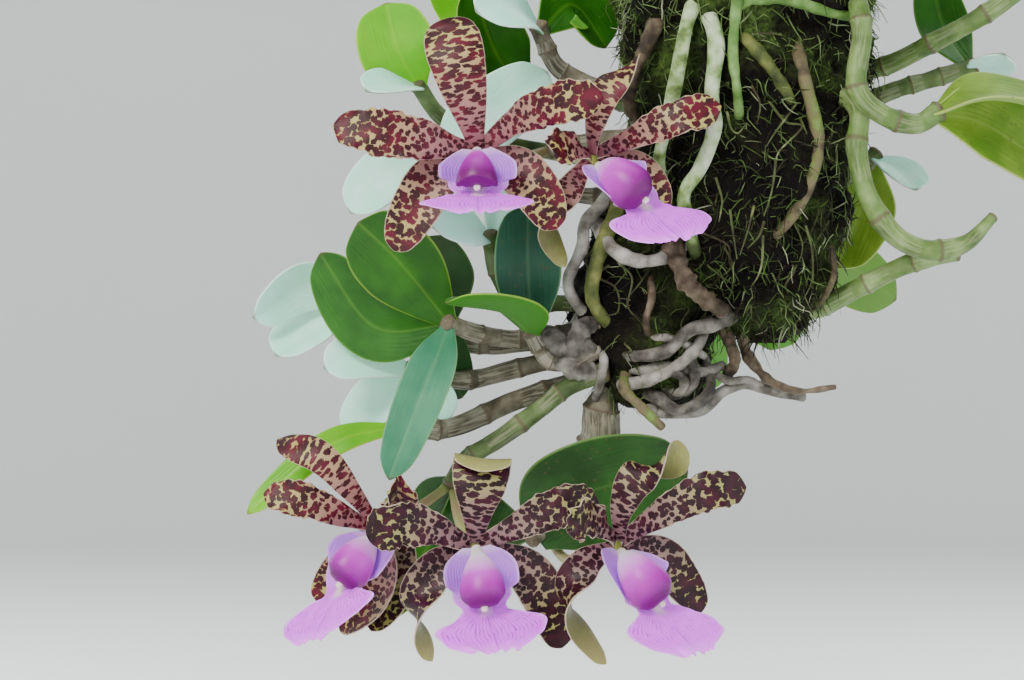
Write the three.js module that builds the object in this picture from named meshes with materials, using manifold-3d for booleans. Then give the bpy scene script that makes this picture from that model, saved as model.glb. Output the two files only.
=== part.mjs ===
// A spotted cattleya orchid grown out of a small slatted basket that hangs from a wire hook.
// Millimetres, +Z up. The origin is the point inside the hook where a rail carries it.
// The viewer looks along +Y, so a smaller depth (y) is nearer to the viewer.
import * as THREE from "three";
import Module from "manifold-3d";

const wasm = await Module();
wasm.setup();

// Driving dimensions.
const GAP = 0.3; // clearance between pieces that touch
const MM_PER_PIXEL = 0.35; // a flower about 90 mm across fills about 260 pixels
const VIEW_DISTANCE = 1100; // from the viewer to the plane through the hook
const PICTURE_CENTRE = { column: 512, row: 340 };
const HOOK_PLACE = { column: 745, row: -680 }; // the hook is well above the picture's top edge

const BASKET_OUTSIDE = 108;
const SLAT = 9;
const SLAT_LAYERS = 6;
const BASKET_TOP = -171.5;
const FLOOR_SLAT_OFFSET = 16;
const WIRE_RADIUS = 1;
const WIRE_INSET = 4.5;
const WIRE_FOOT = 9; // the length that lies flat under the lowest slat
const WIRE_RISE = 3; // how far a wire stands straight up out of the top slat
const TWIST_SPREAD = 2; // how far from the middle each wire meets the twist
const HOOK_WIRE_RADIUS = 1.5;
const HOOK_INSIDE_RADIUS = 9;
const CROOK = { start: -70, end: 200, steps: 10 }; // degrees round the crook, from the shank
const SHANK = { inside: 3, above: 3, lean: 0.3 }; // the shank's places in and over the twist
const TWIST_TOP = -26;
const TWIST_BOTTOM = -44;
const TWIST_RADIUS = { top: 2.2, bottom: 3.8 };

const CANE_JOINTS = 4;
const CANE_WAIST = 0.92; // the radius between two joints, as a share of the cane's radius
const JOINT_SWELL = 0.16; // how far a joint's ring stands out, as a share of the cane's radius
const DRY_TIP = { from: 0.8, taper: 2.6 }; // where a dry tip starts to thin, and how fast
const LEAF_THICKNESS = 1.6;
const LEAF_ROOT = 2; // how far a leaf starts inside the tip of its cane
const PETAL_THICKNESS = 1.1;
const LIP_THICKNESS = 0.9;
const HUB_RADIUS = 3.2; // the middle of a flower, where its petals meet
const STALK_RADIUS = 1.7;
const COLUMN_FLATNESS = 0.8;

// How finely the pieces are faceted: the sides of a round one, the steps along it, and the
// steps along and across a blade.
const SIDES = { wire: 6, twist: 8, cane: 6, root: 4, stalk: 5, column: 6, moss: 16, rootBall: 12 };
const STEPS = { crook: 15, twist: 3, cane: 2 * CANE_JOINTS, root: 6, stalk: 5, column: 5 };
const GRID = { leaf: [5, 2], petal: [6, 2], lip: [9, 4] };

// The share of its radius that a root or stalk has at its start and at its end.
const TAPER = { root: [1.05, 0.8], hiddenRoot: [1.1, 0.75], stalk: [1.3, 0.9] };
const tapered = (radius, [start, end]) => (u) => radius * (start + (end - start) * u);

const FINISH = {
  moss: new THREE.MeshStandardMaterial({ color: "#3a3d22", roughness: 0.95, metalness: 0 }),
  leaf: new THREE.MeshStandardMaterial({ color: "#5f9a4a", roughness: 0.45, metalness: 0 }),
  petal: new THREE.MeshStandardMaterial({ color: "#8a4a4e", roughness: 0.5, metalness: 0 }),
  lip: new THREE.MeshStandardMaterial({ color: "#c673d6", roughness: 0.5, metalness: 0 }),
  wood: new THREE.MeshStandardMaterial({ color: "#6f5238", roughness: 0.8, metalness: 0 }),
  wire: new THREE.MeshStandardMaterial({ color: "#8b8d8c", roughness: 0.4, metalness: 1 }),
};

// A place is [column, row, depth]: where it is seen in the picture, and its depth in millimetres.
function seen([column, row, depth]) {
  const centre = {
    x: (PICTURE_CENTRE.column - HOOK_PLACE.column) * MM_PER_PIXEL,
    z: (HOOK_PLACE.row - PICTURE_CENTRE.row) * MM_PER_PIXEL,
  };
  const scale = (MM_PER_PIXEL * (VIEW_DISTANCE + depth)) / VIEW_DISTANCE;
  return new THREE.Vector3(
    centre.x + (column - PICTURE_CENTRE.column) * scale,
    depth,
    centre.z + (PICTURE_CENTRE.row - row) * scale,
  );
}

// Solids.

function solid(geometry) {
  const position = geometry.getAttribute("position");
  return new wasm.Manifold(
    new wasm.Mesh({
      numProp: 3,
      vertProperties: new Float32Array(position.array),
      triVerts: new Uint32Array(geometry.index.array),
    }),
  );
}

function closedGeometry(points, triangles) {
  const flat = points.flatMap((p) => [p.x, p.y, p.z]);
  return new THREE.BufferGeometry()
    .setAttribute("position", new THREE.Float32BufferAttribute(flat, 3))
    .setIndex(triangles);
}

// A three.js primitive as a solid: its corners are matched by place.
function primitive(geometry) {
  const position = geometry.getAttribute("position");
  const order = geometry.index ? geometry.index.array : [...Array(position.count).keys()];
  const points = [];
  const known = new Map();
  const corner = Array.from({ length: position.count }, (_, i) => {
    const p = new THREE.Vector3().fromBufferAttribute(position, i);
    const key = [p.x, p.y, p.z].map((c) => Math.round(c * 1e4)).join();
    if (!known.has(key)) known.set(key, points.push(p) - 1);
    return known.get(key);
  });
  const triangles = [];
  for (let i = 0; i < order.length; i += 3) {
    const [a, b, c] = [corner[order[i]], corner[order[i + 1]], corner[order[i + 2]]];
    if (a !== b && b !== c && a !== c) triangles.push(a, b, c);
  }
  return solid(closedGeometry(points, triangles));
}

const fused = (solids) => solids.reduce((whole, s) => whole.add(s));
const without = (whole, solids) => solids.reduce((left, s) => left.subtract(s), whole);

// The largest body of a solid, without the small scraps that a cut can leave.
function mainBody(whole) {
  const bodies = whole.decompose();
  return bodies.reduce((a, b) => (b.volume() > a.volume() ? b : a));
}

function geometryOf(whole) {
  const made = whole.getMesh();
  const flat = new Float32Array(made.numVert * 3);
  for (let i = 0; i < made.numVert; i++)
    flat.set(made.vertProperties.subarray(i * made.numProp, i * made.numProp + 3), i * 3);
  return new THREE.BufferGeometry()
    .setAttribute("position", new THREE.BufferAttribute(flat, 3))
    .setIndex(new THREE.BufferAttribute(made.triVerts, 1));
}

// Lines and the frames along them.

function alongLine(places, steps) {
  const curve = new THREE.CatmullRomCurve3(places, false, "catmullrom", 0.5);
  return Array.from({ length: steps + 1 }, (_, i) => curve.getPoint(i / steps));
}

// A frame at each point: along the line, out of the face, and to the side. facing says where
// the face looks at the start, and it turns by twist degrees along the line.
const TO_VIEWER = [0, -1, 0];

function framesAlong(points, facing = TO_VIEWER, roll = 0, twist = 0) {
  const last = points.length - 1;
  const step = (i) => new THREE.Vector3().subVectors(points[i + 1], points[i]).normalize();
  let face = null;
  return points.map((point, i) => {
    const along = step(Math.max(i - 1, 0)).add(step(Math.min(i, last - 1))).normalize();
    const from = face ?? new THREE.Vector3(...facing);
    face = from.clone().addScaledVector(along, -from.dot(along)).normalize();
    const turn = THREE.MathUtils.degToRad(roll + (twist * i) / last);
    const out = face.clone().applyAxisAngle(along, turn);
    return { point, along, out, side: new THREE.Vector3().crossVectors(along, out) };
  });
}

// A round stem with a ring at each point. radius(u) is its radius at a share u of the points,
// grow widens and lengthens it all round, and flat thins it from front to back.
function stem(line, radius, sides, { grow = 0, flat = 1 } = {}) {
  const steps = line.length - 1;
  const points = [];
  const triangles = [];
  framesAlong(line).forEach(({ point, along, out, side }, i) => {
    const r = radius(i / steps) + grow;
    const slide = i === 0 ? -grow : i === steps ? grow : 0;
    for (let k = 0; k < sides; k++) {
      const angle = (2 * Math.PI * k) / sides;
      points.push(
        point
          .clone()
          .addScaledVector(out, flat * r * Math.cos(angle))
          .addScaledVector(side, r * Math.sin(angle))
          .addScaledVector(along, slide),
      );
    }
  });
  for (let i = 0; i < steps; i++)
    for (let k = 0; k < sides; k++) {
      const [a, b] = [i * sides + k, i * sides + ((k + 1) % sides)];
      triangles.push(a, b, a + sides, b, b + sides, a + sides);
    }
  const [first, final] = [0, steps * sides];
  for (let k = 1; k < sides - 1; k++) {
    triangles.push(first, first + k + 1, first + k);
    triangles.push(final, final + k, final + k + 1);
  }
  return oriented(closedGeometry(points, triangles));
}

// A solid whose faces point out, whichever way they were listed.
function oriented(geometry) {
  const made = solid(geometry);
  if (made.volume() > 0) return made;
  const order = geometry.index.array;
  for (let i = 0; i < order.length; i += 3)
    [order[i + 1], order[i + 2]] = [order[i + 2], order[i + 1]];
  return solid(geometry);
}

// A closed sheet between two faces of a grid of points, both split alike.
function sheet(grid, thickness) {
  const rows = grid.length;
  const across = grid[0].length;
  const normalAt = (i, j) => {
    const down = new THREE.Vector3().subVectors(
      grid[Math.min(i + 1, rows - 1)][j],
      grid[Math.max(i - 1, 0)][j],
    );
    const over = new THREE.Vector3().subVectors(
      grid[i][Math.min(j + 1, across - 1)],
      grid[i][Math.max(j - 1, 0)],
    );
    return new THREE.Vector3().crossVectors(down, over).normalize();
  };
  const points = [1, -1].flatMap((face) =>
    grid.flatMap((row, i) =>
      row.map((p, j) => p.clone().addScaledVector(normalAt(i, j), (face * thickness) / 2)),
    ),
  );
  const back = rows * across;
  const triangles = [];
  for (let i = 0; i < rows - 1; i++)
    for (let j = 0; j < across - 1; j++) {
      const [a, b] = [i * across + j, i * across + j + 1];
      const [c, d] = [a + across, b + across];
      triangles.push(a, c, b, b, c, d);
      triangles.push(back + a, back + b, back + c, back + b, back + d, back + c);
    }
  const rim = [];
  for (let j = 0; j < across - 1; j++) rim.push(j);
  for (let i = 0; i < rows - 1; i++) rim.push(i * across + across - 1);
  for (let j = across - 1; j > 0; j--) rim.push((rows - 1) * across + j);
  for (let i = rows - 1; i > 0; i--) rim.push(i * across);
  rim.forEach((a, k) => {
    const b = rim[(k + 1) % rim.length];
    triangles.push(a, b, back + a, b, back + b, back + a);
  });
  return oriented(closedGeometry(points, triangles));
}

// Half the width of a leaf or petal at a share u of its length, as a share of its widest: base
// at its foot, full at its peak and end at its tip. The powers set how full its shoulders are;
// a larger one for the foot keeps it narrow for longer.
const FOOT_FULLNESS = 1.2;
const TIP_FULLNESS = 2.4;

function outline(u, { base, peak, end, foot = FOOT_FULLNESS }) {
  if (u < peak) return base + (1 - base) * Math.sin(((Math.PI / 2) * u) / peak) ** foot;
  const past = (u - peak) / (1 - peak);
  return end + (1 - end) * Math.sqrt(Math.max(0, 1 - past ** TIP_FULLNESS));
}

// A leaf or petal along a line. v runs from -1 to 1 across it; cup and fold lift its margins,
// wave ripples them, and bow draws them back from the tip.
const RIPPLE_OFFSET = 2; // radians by which one margin's ripple runs ahead of the other's

function blade(shape, thickness, [along, across]) {
  const { line, width, facing, roll = 0, twist = 0 } = shape;
  const { cup = 0, fold = 0, wave = 0, waves = 3, bow = 0 } = shape;
  const widthAt = shape.widthAt ?? ((u) => outline(u, shape));
  const cupAt = shape.cupAt ?? (() => cup);
  const frames = framesAlong(alongLine(line, along), facing, roll, twist);
  const grid = frames.map((frame, i) => {
    const u = i / along;
    const half = (width / 2) * widthAt(u);
    return Array.from({ length: across + 1 }, (_, j) => {
      const v = -1 + (2 * j) / across;
      const phase = 2 * Math.PI * waves * u + (v > 0 ? RIPPLE_OFFSET : 0);
      const ripple = wave * v * v * Math.sin(phase);
      return frame.point
        .clone()
        .addScaledVector(frame.side, half * v)
        .addScaledVector(frame.out, cupAt(u) * half * v * v + fold * half * Math.abs(v) + ripple)
        .addScaledVector(frame.along, -bow * half * v * v);
    });
  });
  return sheet(grid, thickness);
}

// The wooden basket: six layers of slats laid like logs, strung on a wire at each corner.

function slatAt(alongX, offset, z, holed) {
  const size = alongX ? [BASKET_OUTSIDE, SLAT, SLAT] : [SLAT, BASKET_OUTSIDE, SLAT];
  const place = alongX ? [0, offset, z] : [offset, 0, z];
  const bar = primitive(new THREE.BoxGeometry(...size).translate(...place));
  if (!holed) return bar;
  const holes = [-1, 1].map((end) => {
    const reach = end * (BASKET_OUTSIDE / 2 - WIRE_INSET);
    const room = WIRE_RADIUS + GAP;
    const hole = new THREE.CylinderGeometry(room, room, 2 * SLAT, SIDES.wire);
    hole.rotateX(Math.PI / 2).translate(...(alongX ? [reach, offset, z] : [offset, reach, z]));
    return primitive(hole);
  });
  return without(bar, holes);
}

function basketSlats() {
  const slats = [];
  const edge = BASKET_OUTSIDE / 2 - SLAT / 2;
  for (let layer = 0; layer < SLAT_LAYERS; layer++) {
    const alongX = layer % 2 === 0;
    const fromTop = SLAT_LAYERS - 1 - layer;
    const z = BASKET_TOP - SLAT / 2 - fromTop * (SLAT + GAP);
    const sides = alongX ? ["front", "back"] : ["left", "right"];
    sides.forEach((side, k) => {
      const offset = (k === 0 ? -1 : 1) * edge;
      slats.push({ name: `slat_${side}_${layer + 1}`, body: slatAt(alongX, offset, z, true) });
    });
    if (layer === 1)
      [-1, 1].forEach((end) => {
        const name = `slat_floor_${end < 0 ? "left" : "right"}`;
        slats.push({ name, body: slatAt(false, end * FLOOR_SLAT_OFFSET, z, false) });
      });
  }
  return slats;
}

const BASKET_BOTTOM = BASKET_TOP - SLAT_LAYERS * SLAT - (SLAT_LAYERS - 1) * GAP;

// A hanger wire is bent flat under the lowest slat, goes up through its corner's holes, and
// slants in to the twist under the hook.
function hangerWire(signX, signY) {
  const corner = BASKET_OUTSIDE / 2 - WIRE_INSET;
  const low = BASKET_BOTTOM - GAP - WIRE_RADIUS;
  const at = (reachX, reachY, z) => new THREE.Vector3(signX * reachX, signY * reachY, z);
  const line = [
    at(corner - WIRE_FOOT, corner, low),
    at(corner - WIRE_RADIUS, corner, low),
    at(corner, corner, low + WIRE_RADIUS),
    at(corner, corner, BASKET_TOP + WIRE_RISE),
    at(TWIST_SPREAD, TWIST_SPREAD, TWIST_BOTTOM - GAP - WIRE_RADIUS),
  ];
  return stem(line, () => WIRE_RADIUS, SIDES.wire);
}

// The crook goes round from the shank on one side over the top to an open end on the other.
function hook() {
  const reach = HOOK_INSIDE_RADIUS + HOOK_WIRE_RADIUS;
  const places = [
    new THREE.Vector3(0, 0, TWIST_TOP - SHANK.inside),
    new THREE.Vector3(SHANK.lean, 0, TWIST_TOP + SHANK.above),
  ];
  for (let k = 0; k <= CROOK.steps; k++) {
    const degrees = CROOK.start + ((CROOK.end - CROOK.start) * k) / CROOK.steps;
    const angle = THREE.MathUtils.degToRad(degrees);
    const [x, z] = [reach * Math.cos(angle), reach * Math.sin(angle) - HOOK_INSIDE_RADIUS];
    places.push(new THREE.Vector3(x, 0, z));
  }
  const crook = stem(alongLine(places, STEPS.crook), () => HOOK_WIRE_RADIUS, SIDES.wire);
  const ends = [new THREE.Vector3(0, 0, TWIST_TOP), new THREE.Vector3(0, 0, TWIST_BOTTOM)];
  const widen = TWIST_RADIUS.bottom - TWIST_RADIUS.top;
  const radius = (u) => TWIST_RADIUS.top + widen * u;
  return fused([crook, stem(alongLine(ends, STEPS.twist), radius, SIDES.twist)]);
}

// The body of moss and old fibre, as level rings from the basket's top to its hanging foot.
// half and deep are a ring's half sizes, and square is 1 inside the basket and 0 where it is round.

const MOSS_RINGS = [
  { row: -186, column: 745, half: 40, deep: 40, depth: 0, square: 0.9 },
  { row: -172, column: 745, half: 44, deep: 44, depth: 0, square: 1 },
  { row: -20, column: 745, half: 44, deep: 44, depth: 0, square: 0.6 },
  { row: 30, column: 744, half: 43, deep: 42, depth: 0, square: 0 },
  { row: 90, column: 745, half: 41, deep: 41, depth: 0, square: 0 },
  { row: 150, column: 748, half: 38, deep: 39, depth: 0, square: 0 },
  { row: 210, column: 746, half: 34, deep: 35, depth: 0, square: 0 },
  { row: 260, column: 750, half: 28.5, deep: 29, depth: 0, square: 0 },
  { row: 300, column: 758, half: 21, deep: 21, depth: 0, square: 0 },
  { row: 328, column: 764, half: 13, deep: 13, depth: 0, square: 0 },
  { row: 343, column: 766, half: 5.5, deep: 5.5, depth: 0, square: 0 },
];

const ROOT_BALL_RINGS = [
  { row: 190, column: 660, half: 11, deep: 11, depth: 2, square: 0 },
  { row: 222, column: 650, half: 19, deep: 18, depth: 3, square: 0 },
  { row: 265, column: 644, half: 23, deep: 21, depth: 4, square: 0 },
  { row: 310, column: 642, half: 24, deep: 22, depth: 4, square: 0 },
  { row: 352, column: 646, half: 23, deep: 21, depth: 4, square: 0 },
  { row: 385, column: 654, half: 19, deep: 16, depth: 4, square: 0 },
  { row: 408, column: 662, half: 10, deep: 9, depth: 4, square: 0 },
];

// The relief is a share of the radius, made of waves round the ring that turn as it goes down.
const RELIEF = 0.035;
const RELIEF_WAVES = [
  { round: 3, rowsPerRadian: 31, share: 1 },
  { round: 5, rowsPerRadian: -23, share: 0.8 },
];
const ROUND_POWER = 2; // a ring is a true oval at this power, and squarer above it
const SQUARE_POWER = 12;

function lump(rings, sides) {
  const points = [];
  rings.forEach(({ row, column, half, deep, depth, square }) => {
    const middle = seen([column, row, 0]);
    for (let k = 0; k < sides; k++) {
      const angle = (2 * Math.PI * (k + 0.5)) / sides;
      const [c, s] = [Math.cos(angle), Math.sin(angle)];
      const power = ROUND_POWER + (SQUARE_POWER - ROUND_POWER) * square;
      const corner = (Math.abs(c) ** power + Math.abs(s) ** power) ** (-1 / power);
      const rough = RELIEF_WAVES.reduce(
        (sum, wave) => sum + wave.share * Math.sin(wave.round * angle + row / wave.rowsPerRadian),
        0,
      );
      const relief = 1 + (1 - square) * RELIEF * rough;
      points.push(
        new THREE.Vector3(
          middle.x + half * c * corner * relief,
          depth + deep * s * corner * relief,
          middle.z,
        ),
      );
    }
  });
  const triangles = [];
  for (let i = 0; i < rings.length - 1; i++)
    for (let k = 0; k < sides; k++) {
      const [a, b] = [i * sides + k, i * sides + ((k + 1) % sides)];
      triangles.push(a, b, a + sides, b, b + sides, a + sides);
    }
  const final = (rings.length - 1) * sides;
  for (let k = 1; k < sides - 1; k++) {
    triangles.push(0, k + 1, k);
    triangles.push(final, final + k, final + k + 1);
  }
  return oriented(closedGeometry(points, triangles));
}

// Thick roots that cling to the moss, each a line of places with its radius.
const ROOTS = [
  // pale left
  {
    r: 2.5,
    path: [
      [704, -20, -38], [688, 20, -43], [676, 80, -42], [665, 130, -37], [659, 165, -31],
      [668, 205, -27], [690, 245, -24],
    ],
  },
  // pale middle
  {
    r: 2.7,
    path: [
      [702, 0, -38], [716, 40, -43], [712, 90, -44], [714, 130, -43], [700, 168, -40],
      [684, 195, -36], [690, 232, -31], [700, 268, -22],
    ],
  },
  // pale thin
  {
    r: 1.9,
    path: [
      [740, -25, -44], [735, 20, -45], [733, 55, -44], [737, 90, -43], [740, 122, -38],
    ],
  },
  // green crossing
  {
    r: 2.1,
    path: [
      [735, 6, -42], [770, -2, -44], [800, 3, -43], [832, 13, -39], [862, 18, -33],
    ],
  },
  // old stub
  {
    r: 2.3,
    path: [
      [742, 34, -43], [765, 60, -44], [784, 88, -41], [792, 104, -36],
    ],
  },
  // brown right
  {
    r: 2.3,
    path: [
      [797, 46, -37], [805, 80, -40], [815, 120, -38], [818, 150, -34], [808, 188, -33],
      [788, 222, -30], [764, 246, -27],
    ],
  },
  // white arc
  {
    r: 2.6,
    path: [
      [598, 228, -14], [614, 250, -20], [640, 261, -23], [668, 256, -24], [694, 238, -22],
    ],
  },
  // white left
  {
    r: 2.3,
    path: [
      [612, 196, -8], [586, 222, -14], [582, 248, -15], [568, 285, -12], [590, 318, -8],
      [625, 330, 0],
    ],
  },
  // mossy left
  {
    r: 2.7,
    path: [
      [622, 200, -12], [605, 238, -17], [594, 273, -18], [592, 296, -17], [600, 314, -14],
      [624, 340, -6],
    ],
  },
  // grey upper
  {
    r: 2.5,
    path: [
      [742, 312, -12], [716, 324, -18], [690, 330, -20], [668, 350, -20], [640, 356, -18],
      [612, 352, -10],
    ],
  },
  // grey middle
  {
    r: 2.3,
    path: [
      [615, 386, -8], [648, 380, -16], [680, 364, -18], [700, 342, -16], [706, 322, -10],
    ],
  },
  // grey coil
  {
    r: 2.2,
    path: [
      [638, 390, -4], [658, 398, -13], [678, 410, -15], [701, 401, -15], [711, 384, -13],
      [704, 360, -4],
    ],
  },
  // grey sweep
  {
    r: 2.3,
    path: [
      [628, 386, 2], [640, 402, -5], [664, 412, -9], [700, 410, -8], [722, 392, -6],
      [745, 384, -4], [775, 391, -4], [803, 397, -2],
    ],
  },
  // dry stalk
  {
    r: 2.4,
    path: [
      [744, 310, 0], [744, 345, -4], [755, 366, -8], [772, 382, -10], [800, 391, -10],
      [835, 387, -8],
    ],
  },
  // grey old cane
  {
    r: 2.6,
    path: [
      [666, -10, -26], [655, 25, -31], [640, 60, -31], [628, 95, -26], [640, 132, -18],
    ],
  },
  // broken stick
  {
    r: 3.4,
    path: [
      [673, 246, -23], [684, 277, -28], [700, 295, -28], [723, 311, -24],
    ],
  },
  // green sprout
  {
    r: 2,
    path: [
      [628, 370, -8], [624, 388, -16], [640, 406, -20], [662, 427, -22],
    ],
  },
  // hanging right
  {
    r: 1.2,
    path: [
      [818, 225, -14], [830, 248, -15], [834, 275, -14], [818, 305, -8], [800, 312, 0],
    ],
  },
  // lower left knot
  {
    r: 5.2,
    path: [
      [630, 300, 2], [592, 316, -2], [574, 344, -3], [592, 370, -2], [634, 368, 0],
    ],
  },
];

// Roots on the sides that the viewer doesn't see: they wander down the moss, evenly round it.
const HIDDEN_ROOT = {
  count: 5,
  radius: 2.2,
  topRow: -5,
  rowStep: 12, // three starting heights
  rows: 250,
  moreRows: 20, // every second root is longer
  from: 0.04, // the share of the half turn behind the moss where the first root is
  spread: 0.92,
  wander: 0.16, // radians to each side, in waves of this many radians a step and a root
  wanderStep: 1.7,
  wanderShift: 2,
  endsAt: 0.92, // the share of the moss's radius where its two ends go in
  middleAt: 0.98,
};

function hiddenRoot(k) {
  const h = HIDDEN_ROOT;
  const places = [];
  for (let i = 0; i <= STEPS.root; i++) {
    const length = h.rows + h.moreRows * (k % 2);
    const row = h.topRow + (k % 3) * h.rowStep + (i / STEPS.root) * length;
    const ring = MOSS_RINGS.findIndex((r) => r.row > row);
    const [upper, lower] = [MOSS_RINGS[ring - 1], MOSS_RINGS[ring]];
    const share = (row - upper.row) / (lower.row - upper.row);
    const reach = upper.half + (lower.half - upper.half) * share;
    const turn = h.from + (h.spread * k) / (h.count - 1);
    const angle = Math.PI * turn + h.wander * Math.sin(h.wanderStep * i + h.wanderShift * k);
    const middle = seen([HOOK_PLACE.column, row, 0]);
    const atEnd = i === 0 || i === STEPS.root;
    const out = reach * (atEnd ? h.endsAt : h.middleAt);
    places.push(new THREE.Vector3(middle.x + out * Math.cos(angle), out * Math.sin(angle), middle.z));
  }
  return stem(alongLine(places, STEPS.root), tapered(h.radius, TAPER.hiddenRoot), SIDES.root);
}

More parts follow.
